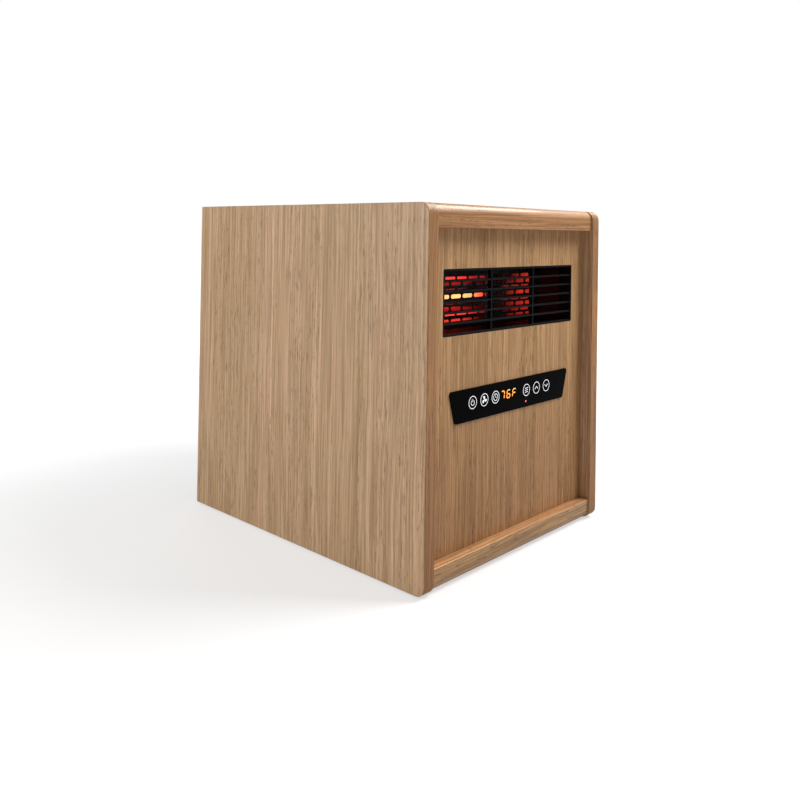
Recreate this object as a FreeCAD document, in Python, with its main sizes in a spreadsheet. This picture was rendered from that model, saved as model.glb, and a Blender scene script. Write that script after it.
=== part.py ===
import FreeCAD, Part
import math
import os
import Sketcher

# Wooden cabinet heater: veneered cabinet, louvred outlet, quartz tube heater box, cross-flow blower,
# touch control panel, power board, tip-over switch, rear intake with a sliding filter.
#
# Frame: the origin is the middle of the footprint, on the floor. +Z is up, the front faces -Y and +X is
# on the right of someone who looks at the front. Lengths are in millimetres.

SIZES = {
    # cabinet
    "cabinet_width": 400.0,
    "cabinet_depth": 480.0,
    "cabinet_height": 470.0,
    "floor_gap": 2.0,
    "side_thickness": 18.0,
    "corner_radius": 14.0,
    "edge_ease": 1.5,
    "rail_setback": 3.0,
    "rail_gap": 0.4,
    "panel_recess": 18.0,
    "top_rail_height": 30.0,
    "bottom_rail_height": 29.0,
    "front_panel_thickness": 12.0,
    "top_thickness": 18.0,
    "base_height": 15.0,
    "base_thickness": 15.0,
    "back_thickness": 12.0,
    "back_inset": 10.0,
    "block_size": 20.0,
    "foot_inset": 50.0,
    "foot_radius": 16.0,
    # outlet grille
    "grille_width": 302.0,
    "grille_tall": 85.0,
    "grille_centre": 346.0,
    "grille_border": 2.5,
    "grille_corner": 2.5,
    "grille_depth": 20.0,
    "grille_clearance": 0.3,
    "grille_flange": 9.0,
    "louver_pitch": 13.5,
    "louver_thickness": 2.2,
    "louver_depth": 12.0,
    "louver_setback": 1.0,
    "rib_offset": 49.0,
    "rib_thickness": 2.5,
    "rib_depth": 6.0,
    # duct, guard screen and heater box
    "sheet": 1.0,
    "duct_clearance": 0.5,
    "guard_depth": 65.0,
    "guard_pitch": 8.5,
    "guard_drop": 4.6,
    "guard_margin": 3.0,
    "slot_pitch": 25.7,
    "slot_length": 22.4,
    "slot_width": 5.6,
    "box_half_width": 150.0,
    "box_depth": 112.0,
    "tube_depth": 149.0,
    "tube_drop": 10.0,
    "tube_floor_gap": 1.0,
    "tube_radius": 6.0,
    "tube_wall": 1.2,
    "tube_half_length": 138.0,
    "cap_radius": 8.0,
    "cap_length": 16.0,
    "filament_radius": 2.4,
    "cutout_radius": 8.0,
    "cutout_tall": 9.0,
    "cutout_ear": 12.0,
    "cutout_ear_width": 8.0,
    "cutout_ear_thickness": 0.8,
    "blade_offset": 4.0,
    "blade_tall": 7.0,
    "fuse_across": 30.0,
    "fuse_long": 14.0,
    "fuse_radius": 2.2,
    "fuse_lead": 8.0,
    "fuse_lead_radius": 0.6,
    "reflector_margin": 3.0,
    "reflector_gap": 14.0,
    # blower
    "rotor_clearance": 5.0,
    "rotor_half_length": 113.0,
    "rotor_end_gap": 5.0,
    "throat_length": 55.0,
    "blade_width": 8.0,
    "shaft_radius": 3.0,
    "bearing_radius": 8.0,
    "running_gap": 0.05,
    "motor_radius": 27.0,
    "motor_length": 40.0,
    # control panel
    "control_centre": 213.0,
    "control_tall": 42.0,
    "control_half_top": 138.5,
    "control_half_bottom": 126.0,
    "control_corner": 4.0,
    "glass_proud": 1.6,
    "tray_inset": 4.0,
    "tray_depth": 21.0,
    "tray_wall": 1.5,
    "board_thickness": 1.6,
    "board_depth": 12.0,
    "key_pitch": 25.0,
    "key_first": 39.5,
    "key_shift": 6.0,
    "display_half_width": 19.5,
    "display_half_tall": 8.0,
    "display_centre": 9.0,
    "lamp_across": 30.6,
    "lamp_drop": 13.4,
    # rear intake and filter
    "intake_half_width": 92.0,
    "intake_low": 150.0,
    "intake_tall": 170.0,
    "intake_slot": 6.0,
    "intake_pitch": 12.0,
    "filter_half_width": 100.0,
    "filter_tall": 190.0,
    "filter_thickness": 5.2,
    "filter_border": 9.0,
    "filter_play": 0.4,
    "guide_width": 8.0,
    "guide_lip": 6.0,
    "guide_thickness": 8.0,
    "tab_half_width": 22.0,
    "tab_height": 13.0,
    # mains switch and gland
    "switch_across": 130.0,
    "switch_height": 80.0,
    "switch_wall": 1.5,
    "rocker_half_width": 6.0,
    "rocker_half_tall": 10.8,
    "rocker_play": 0.5,
    "rocker_swing": 2.2,
    "gland_across": 95.0,
    "gland_bore": 4.0,
    "gland_radius": 6.5,
    "gland_nut": 6.0,
    "gland_reach": 4.0,
    "gland_collar": 2.5,
    # power board and tip-over switch
    "power_across": -95.0,
    "power_back": 60.0,
    "power_width": 120.0,
    "power_long": 90.0,
    "standoff_height": 10.0,
    "standoff_radius": 3.5,
    "standoff_inset": 6.0,
    "relay_across": 14.0,
    "relay_deep": 12.0,
    "relay_step": 26.0,
    "relay_width": 19.0,
    "relay_long": 15.0,
    "relay_tall": 16.0,
    "core_across": 76.0,
    "core_deep": 14.0,
    "core_width": 32.0,
    "core_long": 24.0,
    "core_tall": 26.0,
    "winding_inset": 6.0,
    "winding_reach": 4.0,
    "winding_drop": 5.0,
    "sink_deep": 44.0,
    "sink_width": 44.0,
    "sink_thickness": 3.0,
    "sink_tall": 30.0,
    "fin_inset": 2.0,
    "fin_pitch": 6.0,
    "fin_thickness": 1.5,
    "fin_long": 12.0,
    "terminal_across": 70.0,
    "terminal_deep": 64.0,
    "terminal_width": 40.0,
    "terminal_tall": 14.0,
    "terminal_pitch": 10.0,
    "terminal_bore": 3.0,
    "terminal_floor": 6.0,
    "tip_across": 110.0,
    "tip_back": 90.0,
    "tip_pin_height": 44.0,
    "tip_pin_radius": 2.0,
    "tip_half_width": 10.0,
    "tip_plate": 2.0,
    "tip_overhang": 3.0,
    "tip_crown": 5.0,
    "micro_tall": 22.0,
    "lever_width": 3.0,
    "lever_tall": 8.0,
    "loom_radius": 2.5,
}


ROCKER_TILT = 8.0


class Length:
    """A length that carries its number and the spreadsheet formula that gives it."""

    def __init__(self, number, formula):
        self.number = float(number)
        self.formula = formula

    def join(self, sign, other, number):
        return Length(number, f"({self.formula} {sign} {formula_of(other)})")

    def __add__(self, other):
        return self.join("+", other, self.number + float(other))

    def __sub__(self, other):
        return self.join("-", other, self.number - float(other))

    def __mul__(self, other):
        return self.join("*", other, self.number * float(other))

    def __truediv__(self, other):
        return self.join("/", other, self.number / float(other))

    def __neg__(self):
        return Length(-self.number, f"(0 - {self.formula})")

    def __float__(self):
        return self.number


def formula_of(value):
    """The formula text of a length or of a plain number."""
    return value.formula if isinstance(value, Length) else str(float(value))


def make_sheet(document):
    """Write every driving size to a spreadsheet cell with an alias, and return them as lengths."""
    sheet = document.addObject("Spreadsheet::Sheet", "sizes")
    for row, (alias, number) in enumerate(SIZES.items(), start=1):
        sheet.set(f"A{row}", alias.replace("_", " "))
        sheet.set(f"B{row}", str(number))
        sheet.setAlias(f"B{row}", alias)
    document.recompute()
    return {alias: Length(sheet.get(alias), f"sizes.{alias}") for alias in SIZES}


class Sizes:
    """Each driving size as an attribute, and the places that follow from them."""

    def __init__(self, lengths):
        self.__dict__.update(lengths)
        self.right = self.cabinet_width / 2
        self.inner = self.right - self.side_thickness
        self.back = self.cabinet_depth / 2
        self.front = -self.back
        self.top = self.cabinet_height
        self.bottom = self.floor_gap
        self.rail_front = self.front + self.rail_setback
        self.panel_front = self.front + self.panel_recess
        self.panel_back = self.panel_front + self.front_panel_thickness
        self.top_low = self.top - self.top_thickness
        self.base_top = self.base_height + self.base_thickness
        self.back_outer = self.back - self.back_inset
        self.back_inner = self.back_outer - self.back_thickness
        # outlet
        self.duct_half_width = self.grille_width / 2 + self.duct_clearance
        self.duct_half_tall = self.grille_tall / 2 + self.duct_clearance
        self.duct_front = self.panel_back + self.sheet * 2
        self.box_front = self.panel_front + self.guard_depth
        self.box_back = self.box_front + self.box_depth
        self.duct_top = self.grille_centre + self.duct_half_tall
        self.duct_low = self.grille_centre - self.duct_half_tall
        self.tube_back = self.panel_front + self.tube_depth
        self.tube_height = self.grille_centre - self.tube_drop
        self.tube_room = self.duct_half_tall - self.tube_drop
        self.tube_spacing = self.tube_room - self.cap_radius - self.tube_floor_gap
        # blower
        self.rotor_back = self.box_back + self.throat_length
        self.blower_half = self.rotor_half_length + self.rotor_end_gap
        self.blower_radius = self.duct_half_tall
        self.rotor_radius = self.blower_radius - self.rotor_clearance
        # rear
        self.intake_top = self.intake_low + self.intake_tall
        self.filter_low = self.intake_low - (self.filter_tall - self.intake_tall) / 2
        self.filter_top = self.filter_low + self.filter_tall


CENTRE = Length(0, "0")
doc = FreeCAD.newDocument("cabinet_heater")
size = Sizes(make_sheet(doc))
nodes = {}

PLANE_SIGN = {"XY": 1, "XZ": -1, "YZ": 1}
AXIS_TURN = {
    "X": FreeCAD.Rotation(FreeCAD.Vector(0, 1, 0), 90),
    "Y": FreeCAD.Rotation(FreeCAD.Vector(1, 0, 0), -90),
    "Z": FreeCAD.Rotation(),
}


def bind(item, name, value):
    """Bind one property of an object to a length's formula."""
    item.setExpression(name, formula_of(value))


def place(item, across, deep, high):
    """Bind an object's position."""
    bind(item, "Placement.Base.x", across)
    bind(item, "Placement.Base.y", deep)
    bind(item, "Placement.Base.z", high)


def keep(item, label):
    """Name an object as a sub-part of the heater."""
    item.Label = label
    nodes[label] = item
    return item


# Outlines that sketches are drawn from. Their corners are pinned to the sketch's origin.


def pin(sketch, geometry, point, across, high):
    """Tie one point of a sketch to the origin by two bound distances."""
    for kind, value in (("DistanceX", across), ("DistanceY", high)):
        tie = Sketcher.Constraint(kind, -1, 1, geometry, point, float(value))
        index = sketch.addConstraint(tie)
        sketch.setExpression(f"Constraints[{index}]", formula_of(value))


class Polygon:
    """A closed outline of straight lines."""

    def __init__(self, corners):
        self.corners = corners

    def draw(self, sketch):
        first = sketch.GeometryCount
        points = [FreeCAD.Vector(float(u), float(v), 0) for u, v in self.corners]
        count = len(points)
        for index, start in enumerate(points):
            sketch.addGeometry(Part.LineSegment(start, points[(index + 1) % count]))
        for index in range(count):
            after = first + (index + 1) % count
            sketch.addConstraint(Sketcher.Constraint("Coincident", first + index, 2, after, 1))
        for index, (across, high) in enumerate(self.corners):
            pin(sketch, first + index, 1, across, high)


class Rectangle(Polygon):
    """A rectangle between two corners."""

    def __init__(self, low_u, low_v, high_u, high_v):
        super().__init__([(low_u, low_v), (high_u, low_v), (high_u, high_v), (low_u, high_v)])


class Circle:
    """A circle about a point."""

    def __init__(self, across, high, radius):
        self.across, self.high, self.radius = across, high, radius

    def draw(self, sketch):
        centre = FreeCAD.Vector(float(self.across), float(self.high), 0)
        circle = Part.Circle(centre, FreeCAD.Vector(0, 0, 1), float(self.radius))
        geometry = sketch.addGeometry(circle)
        pin(sketch, geometry, 3, self.across, self.high)
        index = sketch.addConstraint(Sketcher.Constraint("Radius", geometry, float(self.radius)))
        sketch.setExpression(f"Constraints[{index}]", formula_of(self.radius))


class Slot:
    """A level slot with round ends."""

    def __init__(self, across, high, length, width):
        self.across, self.high, self.length, self.width = across, high, length, width

    def draw(self, sketch):
        radius = self.width / 2
        reach = self.length / 2 - radius
        left, right = self.across - reach, self.across + reach
        first = sketch.GeometryCount
        normal = FreeCAD.Vector(0, 0, 1)
        for centre, start in ((right, -math.pi / 2), (left, math.pi / 2)):
            middle = FreeCAD.Vector(float(centre), float(self.high), 0)
            circle = Part.Circle(middle, normal, float(radius))
            sketch.addGeometry(Part.ArcOfCircle(circle, start, start + math.pi))
        for sign, start, end in ((1, right, left), (-1, left, right)):
            level = float(self.high) + sign * float(radius)
            ends = [FreeCAD.Vector(float(x), level, 0) for x in (start, end)]
            sketch.addGeometry(Part.LineSegment(*ends))
        for line, arc, next_arc in ((2, 0, 1), (3, 1, 0)):
            sketch.addConstraint(Sketcher.Constraint("Tangent", first + arc, 2, first + line, 1))
            sketch.addConstraint(Sketcher.Constraint("Tangent", first + line, 2, first + next_arc, 1))
        pin(sketch, first, 3, right, self.high)
        pin(sketch, first + 1, 3, left, self.high)
        index = sketch.addConstraint(Sketcher.Constraint("Radius", first, float(radius)))
        sketch.setExpression(f"Constraints[{index}]", formula_of(radius))


class Piece:
    """A sub-part built as a PartDesign body from sketches on its own origin planes."""

    def __init__(self, label):
        self.body = keep(doc.addObject("PartDesign::Body", label), label)
        self.last_sketch = None

    def sketch(self, plane, level, outlines):
        drawing = self.body.newObject("Sketcher::SketchObject", "sketch")
        origin = self.body.Origin.OriginFeatures
        support = next(item for item in origin if item.Role == f"{plane}_Plane")
        drawing.AttachmentSupport = (support, [""])
        drawing.MapMode = "FlatFace"
        bind(drawing, "AttachmentOffset.Base.z", level * PLANE_SIGN[plane])
        for outline in outlines:
            outline.draw(drawing)
        self.last_sketch = drawing
        return drawing

    def pad(self, plane, outlines, low, high):
        """Add the outlines' area between two levels along the plane's row axis."""
        start = high if plane == "XZ" else low
        feature = self.body.newObject("PartDesign::Pad", "pad")
        feature.Profile = self.sketch(plane, start, outlines)
        bind(feature, "Length", high - low)
        return self.finish(feature)

    def pocket(self, plane, outlines, low, high):
        """Cut the outlines' area away between two levels along the plane's row axis."""
        start = low if plane == "XZ" else high
        before = self.body.Shape.Volume
        feature = self.body.newObject("PartDesign::Pocket", "pocket")
        feature.Profile = self.sketch(plane, start, outlines)
        bind(feature, "Length", high - low)
        self.finish(feature)
        if self.body.Shape.Volume >= before:
            raise ValueError(f"{self.body.Label}: a pocket cuts nothing")
        return feature

    def fillet(self, radius, *picks):
        """Round every edge that one of the picks accepts."""
        shape = self.body.Shape
        names = [
            f"Edge{index}"
            for index, edge in enumerate(shape.Edges, start=1)
            if any(pick(edge) for pick in picks)
        ]
        if not names:
            raise ValueError(f"{self.body.Label}: no edge to round")
        base = self.body.Tip
        feature = self.body.newObject("PartDesign::Fillet", "fillet")
        feature.Base = (base, names)
        bind(feature, "Radius", radius)
        return self.finish(feature)

    def repeat(self, feature, steps):
        """Repeat a feature along its own sketch's axes; steps are (axis, spacing, count)."""
        pattern = self.body.newObject("PartDesign::LinearPattern", "pattern")
        pattern.Originals = [feature]
        for suffix, (axis, spacing, count) in zip(("", "2"), steps):
            setattr(pattern, f"Direction{suffix}", (feature.Profile[0], [axis]))
            setattr(pattern, f"Mode{suffix}", "Spacing")
            bind(pattern, f"Offset{suffix}", spacing)
            # The second direction stops one place short of its count, so it is given one more.
            setattr(pattern, f"Occurrences{suffix}", count + 1 if suffix else count)
        return self.finish(pattern)

    def spin(self, feature, count):
        """Repeat a feature round its own sketch's normal."""
        pattern = self.body.newObject("PartDesign::PolarPattern", "ring")
        pattern.Originals = [feature]
        pattern.Axis = (feature.Profile[0], ["N_Axis"])
        pattern.Angle = 360
        pattern.Occurrences = count
        return self.finish(pattern)

    def finish(self, feature):
        self.body.Tip = feature
        doc.recompute()
        return feature


def edge_along(axis, **places):
    """A test for straight edges that run along an axis at the given coordinates."""
    names = "xyz"
    run = names.index(axis.lower())
    wanted = {names.index(name): float(value) for name, value in places.items()}

    def accepts(edge):
        if not isinstance(edge.Curve, Part.Line) or abs(edge.Curve.Direction[run]) < 0.999:
            return False
        middle = edge.CenterOfMass
        return all(abs(middle[index] - value) < 0.02 for index, value in wanted.items())

    return accepts


# Part primitives for the plain pieces.


def block(low, high):
    """A box between two corners."""
    item = doc.addObject("Part::Box", "block")
    for name, start, end in zip(("Length", "Width", "Height"), low, high):
        bind(item, name, end - start)
    place(item, *low)
    return item


def rod(axis, start, length, radius):
    """A cylinder that runs from a point along a row axis."""
    item = doc.addObject("Part::Cylinder", "rod")
    item.Placement = FreeCAD.Placement(FreeCAD.Vector(), AXIS_TURN[axis])
    bind(item, "Radius", radius)
    bind(item, "Height", length)
    place(item, *start)
    return item


def cut(base, *tools):
    """The base with every tool taken away."""
    for tool in tools:
        item = doc.addObject("Part::Cut", "cut")
        item.Base, item.Tool = base, tool
        base = item
    return base


def fuse(*items):
    """One solid from several that touch."""
    item = doc.addObject("Part::MultiFuse", "fuse")
    item.Shapes = list(items)
    item.Refine = True
    return item


def group(*items):
    """Separate solids in one sub-part."""
    item = doc.addObject("Part::Compound", "group")
    item.Links = list(items)
    return item


def screws(label, places, direction, shank, head_radius, shank_radius):
    """Countersunk screws in one sub-part: heads at the places, shanks along the direction."""
    turn = FreeCAD.Rotation(FreeCAD.Vector(0, 0, 1), FreeCAD.Vector(*direction))
    head_length = head_radius - shank_radius
    made = []
    for spot in places:
        screw = Part.makeCone(head_radius, shank_radius, head_length)
        tip = head_length + shank
        stem = Part.makeCylinder(shank_radius, shank, FreeCAD.Vector(0, 0, head_length))
        point = Part.makeCone(shank_radius, 0.4, shank_radius * 2, FreeCAD.Vector(0, 0, tip))
        cross = [Part.makeBox(head_radius, 0.9, 0.9) for _ in range(2)]
        for slot, spin in zip(cross, (0, 90)):
            slot.translate(FreeCAD.Vector(-head_radius / 2, -0.45, 0))
            slot.rotate(FreeCAD.Vector(), FreeCAD.Vector(0, 0, 1), spin)
        screw = screw.fuse([stem, point]).removeSplitter().cut(cross[0].fuse(cross[1]))
        screw.Placement = FreeCAD.Placement(FreeCAD.Vector(*[float(v) for v in spot]), turn)
        made.append(screw)
    item = doc.addObject("Part::Feature", label)
    item.Shape = Part.makeCompound(made)
    return keep(item, label)


def loom(label, route, radius):
    """A wire loom: straight runs joined by tangent arcs, each as large as its two runs allow."""
    points = [FreeCAD.Vector(*[float(value) for value in point]) for point in route]
    edges = []
    start = points[0]
    for before, corner, after in zip(points, points[1:], points[2:]):
        back, ahead = (before - corner), (after - corner)
        reach = 0.45 * min(back.Length, ahead.Length)
        enter = corner + back.normalize() * reach
        leave = corner + ahead.normalize() * reach
        spread = back.getAngle(ahead)
        middle = (back + ahead).normalize()
        bend = reach * math.tan(spread / 2)
        crown = corner + middle * (bend / math.sin(spread / 2) - bend)
        edges.append(Part.LineSegment(start, enter).toShape())
        edges.append(Part.Arc(enter, crown, leave).toShape())
        start = leave
    edges.append(Part.LineSegment(start, points[-1]).toShape())
    path = Part.Wire(edges)
    ring = Part.Circle(points[0], points[1] - points[0], float(radius)).toShape()
    item = doc.addObject("Part::Feature", label)
    item.Shape = path.makePipeShell([Part.Wire([ring])], True, False)
    return keep(item, label)


def mirrored(values):
    """Every combination of plus and minus for two values."""
    first, second = values
    return [(u, v) for u in (-first, first) for v in (-second, second)]


# Cabinet


def side_panel(label, low, high, outer):
    """A full-depth side board with its front corners rounded and its arrises eased."""
    piece = Piece(label)
    outline = Rectangle(size.front, size.bottom, size.back, size.top)
    piece.pad("YZ", [outline], low, high)
    piece.fillet(
        size.corner_radius,
        edge_along("X", y=size.front, z=size.top),
        edge_along("X", y=size.front, z=size.bottom),
    )
    piece.fillet(size.edge_ease, edge_along("Z", x=outer, y=size.front))


def rails():
    """The two rails between the sides, rebated for the front panel's edges."""
    left, right = size.rail_gap - size.inner, size.inner - size.rail_gap
    lip = size.top - size.top_rail_height
    top = Piece("top_rail")
    corners = [
        (size.rail_front, lip),
        (size.panel_front, lip),
        (size.panel_front, size.top_low),
        (size.panel_back, size.top_low),
        (size.panel_back, size.top),
        (size.rail_front, size.top),
    ]
    top.pad("YZ", [Polygon(corners)], left, right)
    top.fillet(size.corner_radius, edge_along("X", y=size.rail_front, z=size.top))
    top.fillet(size.edge_ease, edge_along("X", y=size.rail_front, z=lip))

    ledge = size.bottom + size.bottom_rail_height
    low = Piece("bottom_rail")
    corners = [
        (size.rail_front, size.bottom),
        (size.panel_back, size.bottom),
        (size.panel_back, size.base_height),
        (size.panel_front, size.base_height),
        (size.panel_front, ledge),
        (size.rail_front, ledge),
    ]
    low.pad("YZ", [Polygon(corners)], left, right)
    low.fillet(size.corner_radius, edge_along("X", y=size.rail_front, z=size.bottom))
    low.fillet(size.edge_ease, edge_along("X", y=size.rail_front, z=ledge))


def control_outline(inset):
    """The control panel's outline, wider at its top, moved in by an inset."""
    top = size.control_centre + size.control_tall / 2
    low = size.control_centre - size.control_tall / 2
    lean = (size.control_half_top - size.control_half_bottom) / size.control_tall
    wide = size.control_half_top - (lean + 1) * inset
    narrow = size.control_half_bottom + (lean - 1) * inset
    corners = [
        (-narrow, low + inset),
        (narrow, low + inset),
        (wide, top - inset),
        (-wide, top - inset),
    ]
    return Polygon(corners)


def upright_corner_edges(outline):
    """Tests for the edges along Y at an outline's corners."""
    return [edge_along("Y", x=across, z=high) for across, high in outline.corners]


def front_panel():
    """The recessed board with the outlet's opening and the control window."""
    piece = Piece("front_panel")
    half, tall = size.grille_width / 2, size.grille_tall / 2
    opening = Rectangle(-half, size.grille_centre - tall, half, size.grille_centre + tall)
    board = Rectangle(-size.inner, size.base_height, size.inner, size.top_low)
    window = control_outline(size.tray_inset - size.filter_play)
    piece.pad("XZ", [board, opening, window], size.panel_front, size.panel_back)
    piece.fillet(size.grille_corner, *upright_corner_edges(opening))


def boards():
    """Top, base and back boards, and the corner blocks behind them."""
    top_low = (-size.inner, size.panel_back, size.top_low)
    keep(block(top_low, (size.inner, size.back_outer, size.top)), "top_panel")
    base_low = (-size.inner, size.panel_back, size.base_height)
    keep(block(base_low, (size.inner, size.back_inner, size.base_top)), "cabinet_base")

    piece = Piece("back_panel")
    board = Rectangle(-size.inner, size.bottom, size.inner, size.top_low)
    intake = Rectangle(
        -size.intake_half_width, size.intake_low, size.intake_half_width, size.intake_top
    )
    piece.pad("XZ", [board, intake], size.back_inner, size.back_outer)
    switch_half = size.rocker_half_width + size.rocker_play + size.switch_wall
    switch_tall = size.rocker_half_tall + size.rocker_swing + size.switch_wall
    switch = Rectangle(
        size.switch_across - switch_half,
        size.switch_height - switch_tall,
        size.switch_across + switch_half,
        size.switch_height + switch_tall,
    )
    gland = Circle(size.gland_across, size.switch_height, size.gland_radius + size.running_gap)
    piece.pocket("XZ", [switch, gland], size.back_inner, size.back_outer)

    blocks = []
    for side in (-1, 1):
        wall = size.inner * side
        edge = (size.inner - size.block_size) * side
        low_x, high_x = (wall, edge) if side < 0 else (edge, wall)
        for low_z in (size.base_top, size.top_low - size.block_size):
            low = (low_x, size.panel_back, low_z)
            blocks.append(block(low, (high_x, size.back_inner, low_z + size.block_size)))
    keep(group(*blocks), "corner_blocks")


def feet():
    """Four moulded feet under the base, with the screws that hold them."""
    spots = mirrored((size.right - size.foot_inset, size.back - size.foot_inset))
    pads = []
    holes = size.foot_radius / 5
    for across, deep in spots:
        pad = rod("Z", (across, deep, CENTRE), size.base_height, size.foot_radius)
        bore = rod("Z", (across, deep, CENTRE), size.base_height, holes)
        pads.append(cut(pad, bore))
    keep(group(*pads), "feet")
    heads = [(across, deep, size.base_height / 3) for across, deep in spots]
    screws("foot_screws", heads, (0, 0, 1), 16.0, 3.0, 1.5)


def back_screws():
    """The screws that hold the back panel to the corner blocks."""
    across = size.inner - size.block_size / 2
    middle = size.block_size / 2
    spots = []
    for side in (-1, 1):
        for high in (size.base_top + middle, size.top_low - middle):
            spots.append((across * side, size.back_outer, high))
    for side in (-1, 0, 1):
        spots.append((size.inner / 2 * side, size.back_outer, size.base_height + 7.5))
    screws("back_screws", spots, (0, -1, 0), 26.0, 3.6, 1.8)


# Outlet


def outlet_grille():
    """The moulded grille: frame, rear flange, level louver blades and upright ribs."""
    piece = Piece("outlet_grille")
    half = size.grille_width / 2 - size.grille_clearance
    tall = size.grille_tall / 2 - size.grille_clearance
    low, high = size.grille_centre - tall, size.grille_centre + tall
    border = size.grille_border
    outer = Rectangle(-half, low, half, high)
    inner = Rectangle(border - half, low + border, half - border, high - border)
    piece.pad("XZ", [outer, inner], size.panel_front, size.panel_front + size.grille_depth)
    piece.fillet(size.grille_corner, *upright_corner_edges(outer))
    reach = size.grille_flange
    flange = Rectangle(-half - reach, low - reach, half + reach, high + reach)
    piece.pad("XZ", [flange, inner], size.panel_back, size.duct_front)

    blade_front = size.panel_front + size.louver_setback
    first = size.grille_centre - size.louver_pitch * 2
    thick = size.louver_thickness / 2
    blade = Rectangle(border - half, first - thick, half - border, first + thick)
    pad = piece.pad("XZ", [blade], blade_front, blade_front + size.louver_depth)
    piece.repeat(pad, [("V_Axis", size.louver_pitch, 5)])
    for side in (-1, 1):
        across = size.rib_offset * side
        rib = Rectangle(
            across - size.rib_thickness / 2,
            low + border,
            across + size.rib_thickness / 2,
            high - border,
        )
        piece.pad("XZ", [rib], blade_front, blade_front + size.rib_depth)


def flue(label, half_width, front, back, flange):
    """A rectangular sheet metal duct, with an outward flange at its front."""
    piece = Piece(label)
    wall = size.sheet
    low, high = size.duct_low, size.duct_top
    inner = Rectangle(-half_width, low, half_width, high)
    outer = Rectangle(-half_width - wall, low - wall, half_width + wall, high + wall)
    piece.pad("XZ", [outer, inner], front, back)
    rim = Rectangle(-half_width - flange, low - flange, half_width + flange, high + flange)
    piece.pad("XZ", [rim, inner], front, front + wall)
    return piece


def guard_screen():
    """The slotted steel guard: level slots laid like bricks, as many as the plate has room for."""
    piece = Piece("guard_screen")
    plate = Rectangle(-size.box_half_width, size.duct_low, size.box_half_width, size.duct_top)
    piece.pad("XZ", [plate], size.box_front, size.box_front + size.sheet)
    rows = int(float(size.duct_half_tall - size.guard_drop - size.guard_margin) / float(size.guard_pitch))
    columns = int(float(size.box_half_width - size.guard_margin) / float(size.slot_pitch))
    low_row = size.grille_centre - size.guard_drop - size.guard_pitch * (rows - 0.5)
    quarter = size.slot_pitch / 4
    first = size.slot_pitch * -columns
    slots = [
        Slot(first + quarter, low_row, size.slot_length, size.slot_width),
        Slot(first - quarter, low_row + size.guard_pitch, size.slot_length, size.slot_width),
    ]
    cuts = piece.pocket("XZ", slots, size.box_front, size.box_front + size.sheet)
    steps = [("H_Axis", size.slot_pitch, columns * 2 + 1), ("V_Axis", size.guard_pitch * 2, rows)]
    piece.repeat(cuts, steps)


def heater_box():
    """The polished box round the tubes, with a back wall that opens to the blower's throat."""
    piece = flue("heater_box", size.box_half_width, size.box_front, size.box_back, size.block_size / 4)
    wall = Rectangle(-size.box_half_width, size.duct_low, size.box_half_width, size.duct_top)
    throat = Rectangle(-size.blower_half, size.duct_low, size.blower_half, size.duct_top)
    piece.pad("XZ", [wall, throat], size.box_back - size.sheet, size.box_back)


def reflector():
    """The bent sheet behind the tubes; air passes above and below it."""
    half = size.tube_room - size.reflector_margin
    back = size.tube_back + size.reflector_gap
    wing = size.reflector_gap * 0.6
    centre = size.tube_height
    piece = Piece("reflector")
    corners = [
        (back - wing, centre + half),
        (back, centre + half - wing),
        (back, centre - half + wing),
        (back - wing, centre - half),
        (back - wing + size.sheet, centre - half - size.sheet * 0.4),
        (back + size.sheet, centre - half + wing - size.sheet * 0.4),
        (back + size.sheet, centre + half - wing + size.sheet * 0.4),
        (back - wing + size.sheet, centre + half + size.sheet * 0.4),
    ]
    reach = size.tube_half_length - size.cap_length
    piece.pad("YZ", [Polygon(corners)], -reach, reach)


def tubes():
    """Three quartz tubes with their filaments and ceramic end holders, in steel end brackets."""
    names = ("quartz_tube_lower", "quartz_tube_middle", "quartz_tube_upper")
    filaments, holders = [], []
    inner_radius = size.tube_radius - size.tube_wall
    cap_inside = size.cap_length * 0.75
    for index, name in enumerate(names):
        height = size.tube_height + size.tube_spacing * (index - 1)
        start = (-size.tube_half_length, size.tube_back, height)
        length = size.tube_half_length * 2
        keep(
            cut(
                rod("X", start, length, size.tube_radius),
                rod("X", start, length, inner_radius),
            ),
            name,
        )
        filaments.append(rod("X", start, length, size.filament_radius))
        for side in (-1, 1):
            tip = size.tube_half_length * side
            cap_start = tip - cap_inside if side > 0 else tip - (size.cap_length - cap_inside)
            spot = (cap_start, size.tube_back, height)
            cap = rod("X", spot, size.cap_length, size.cap_radius)
            bore_start = tip - cap_inside if side > 0 else tip
            bore_radius = size.tube_radius + size.running_gap
            bore_spot = (bore_start, size.tube_back, height)
            holders.append(cut(cap, rod("X", bore_spot, cap_inside, bore_radius)))
    keep(group(*filaments), "tube_filaments")
    keep(group(*holders), "ceramic_holders")


def tube_brackets():
    """A bent plate at each end that carries the ceramic holders."""
    plates = []
    for side in (-1, 1):
        centre = size.tube_half_length - size.cap_length / 4
        plate = block(
            (centre * side - size.sheet / 2, size.tube_back - 11.0, size.duct_low),
            (centre * side + size.sheet / 2, size.tube_back + 11.0, size.duct_top),
        )
        holes = []
        for step in (-1, 0, 1):
            height = size.tube_height + size.tube_spacing * step
            start = (centre * side - size.sheet, size.tube_back, height)
            holes.append(rod("X", start, size.sheet * 2, size.cap_radius + size.running_gap))
        plates.append(cut(plate, *holes))
    keep(group(*plates), "tube_brackets")


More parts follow.
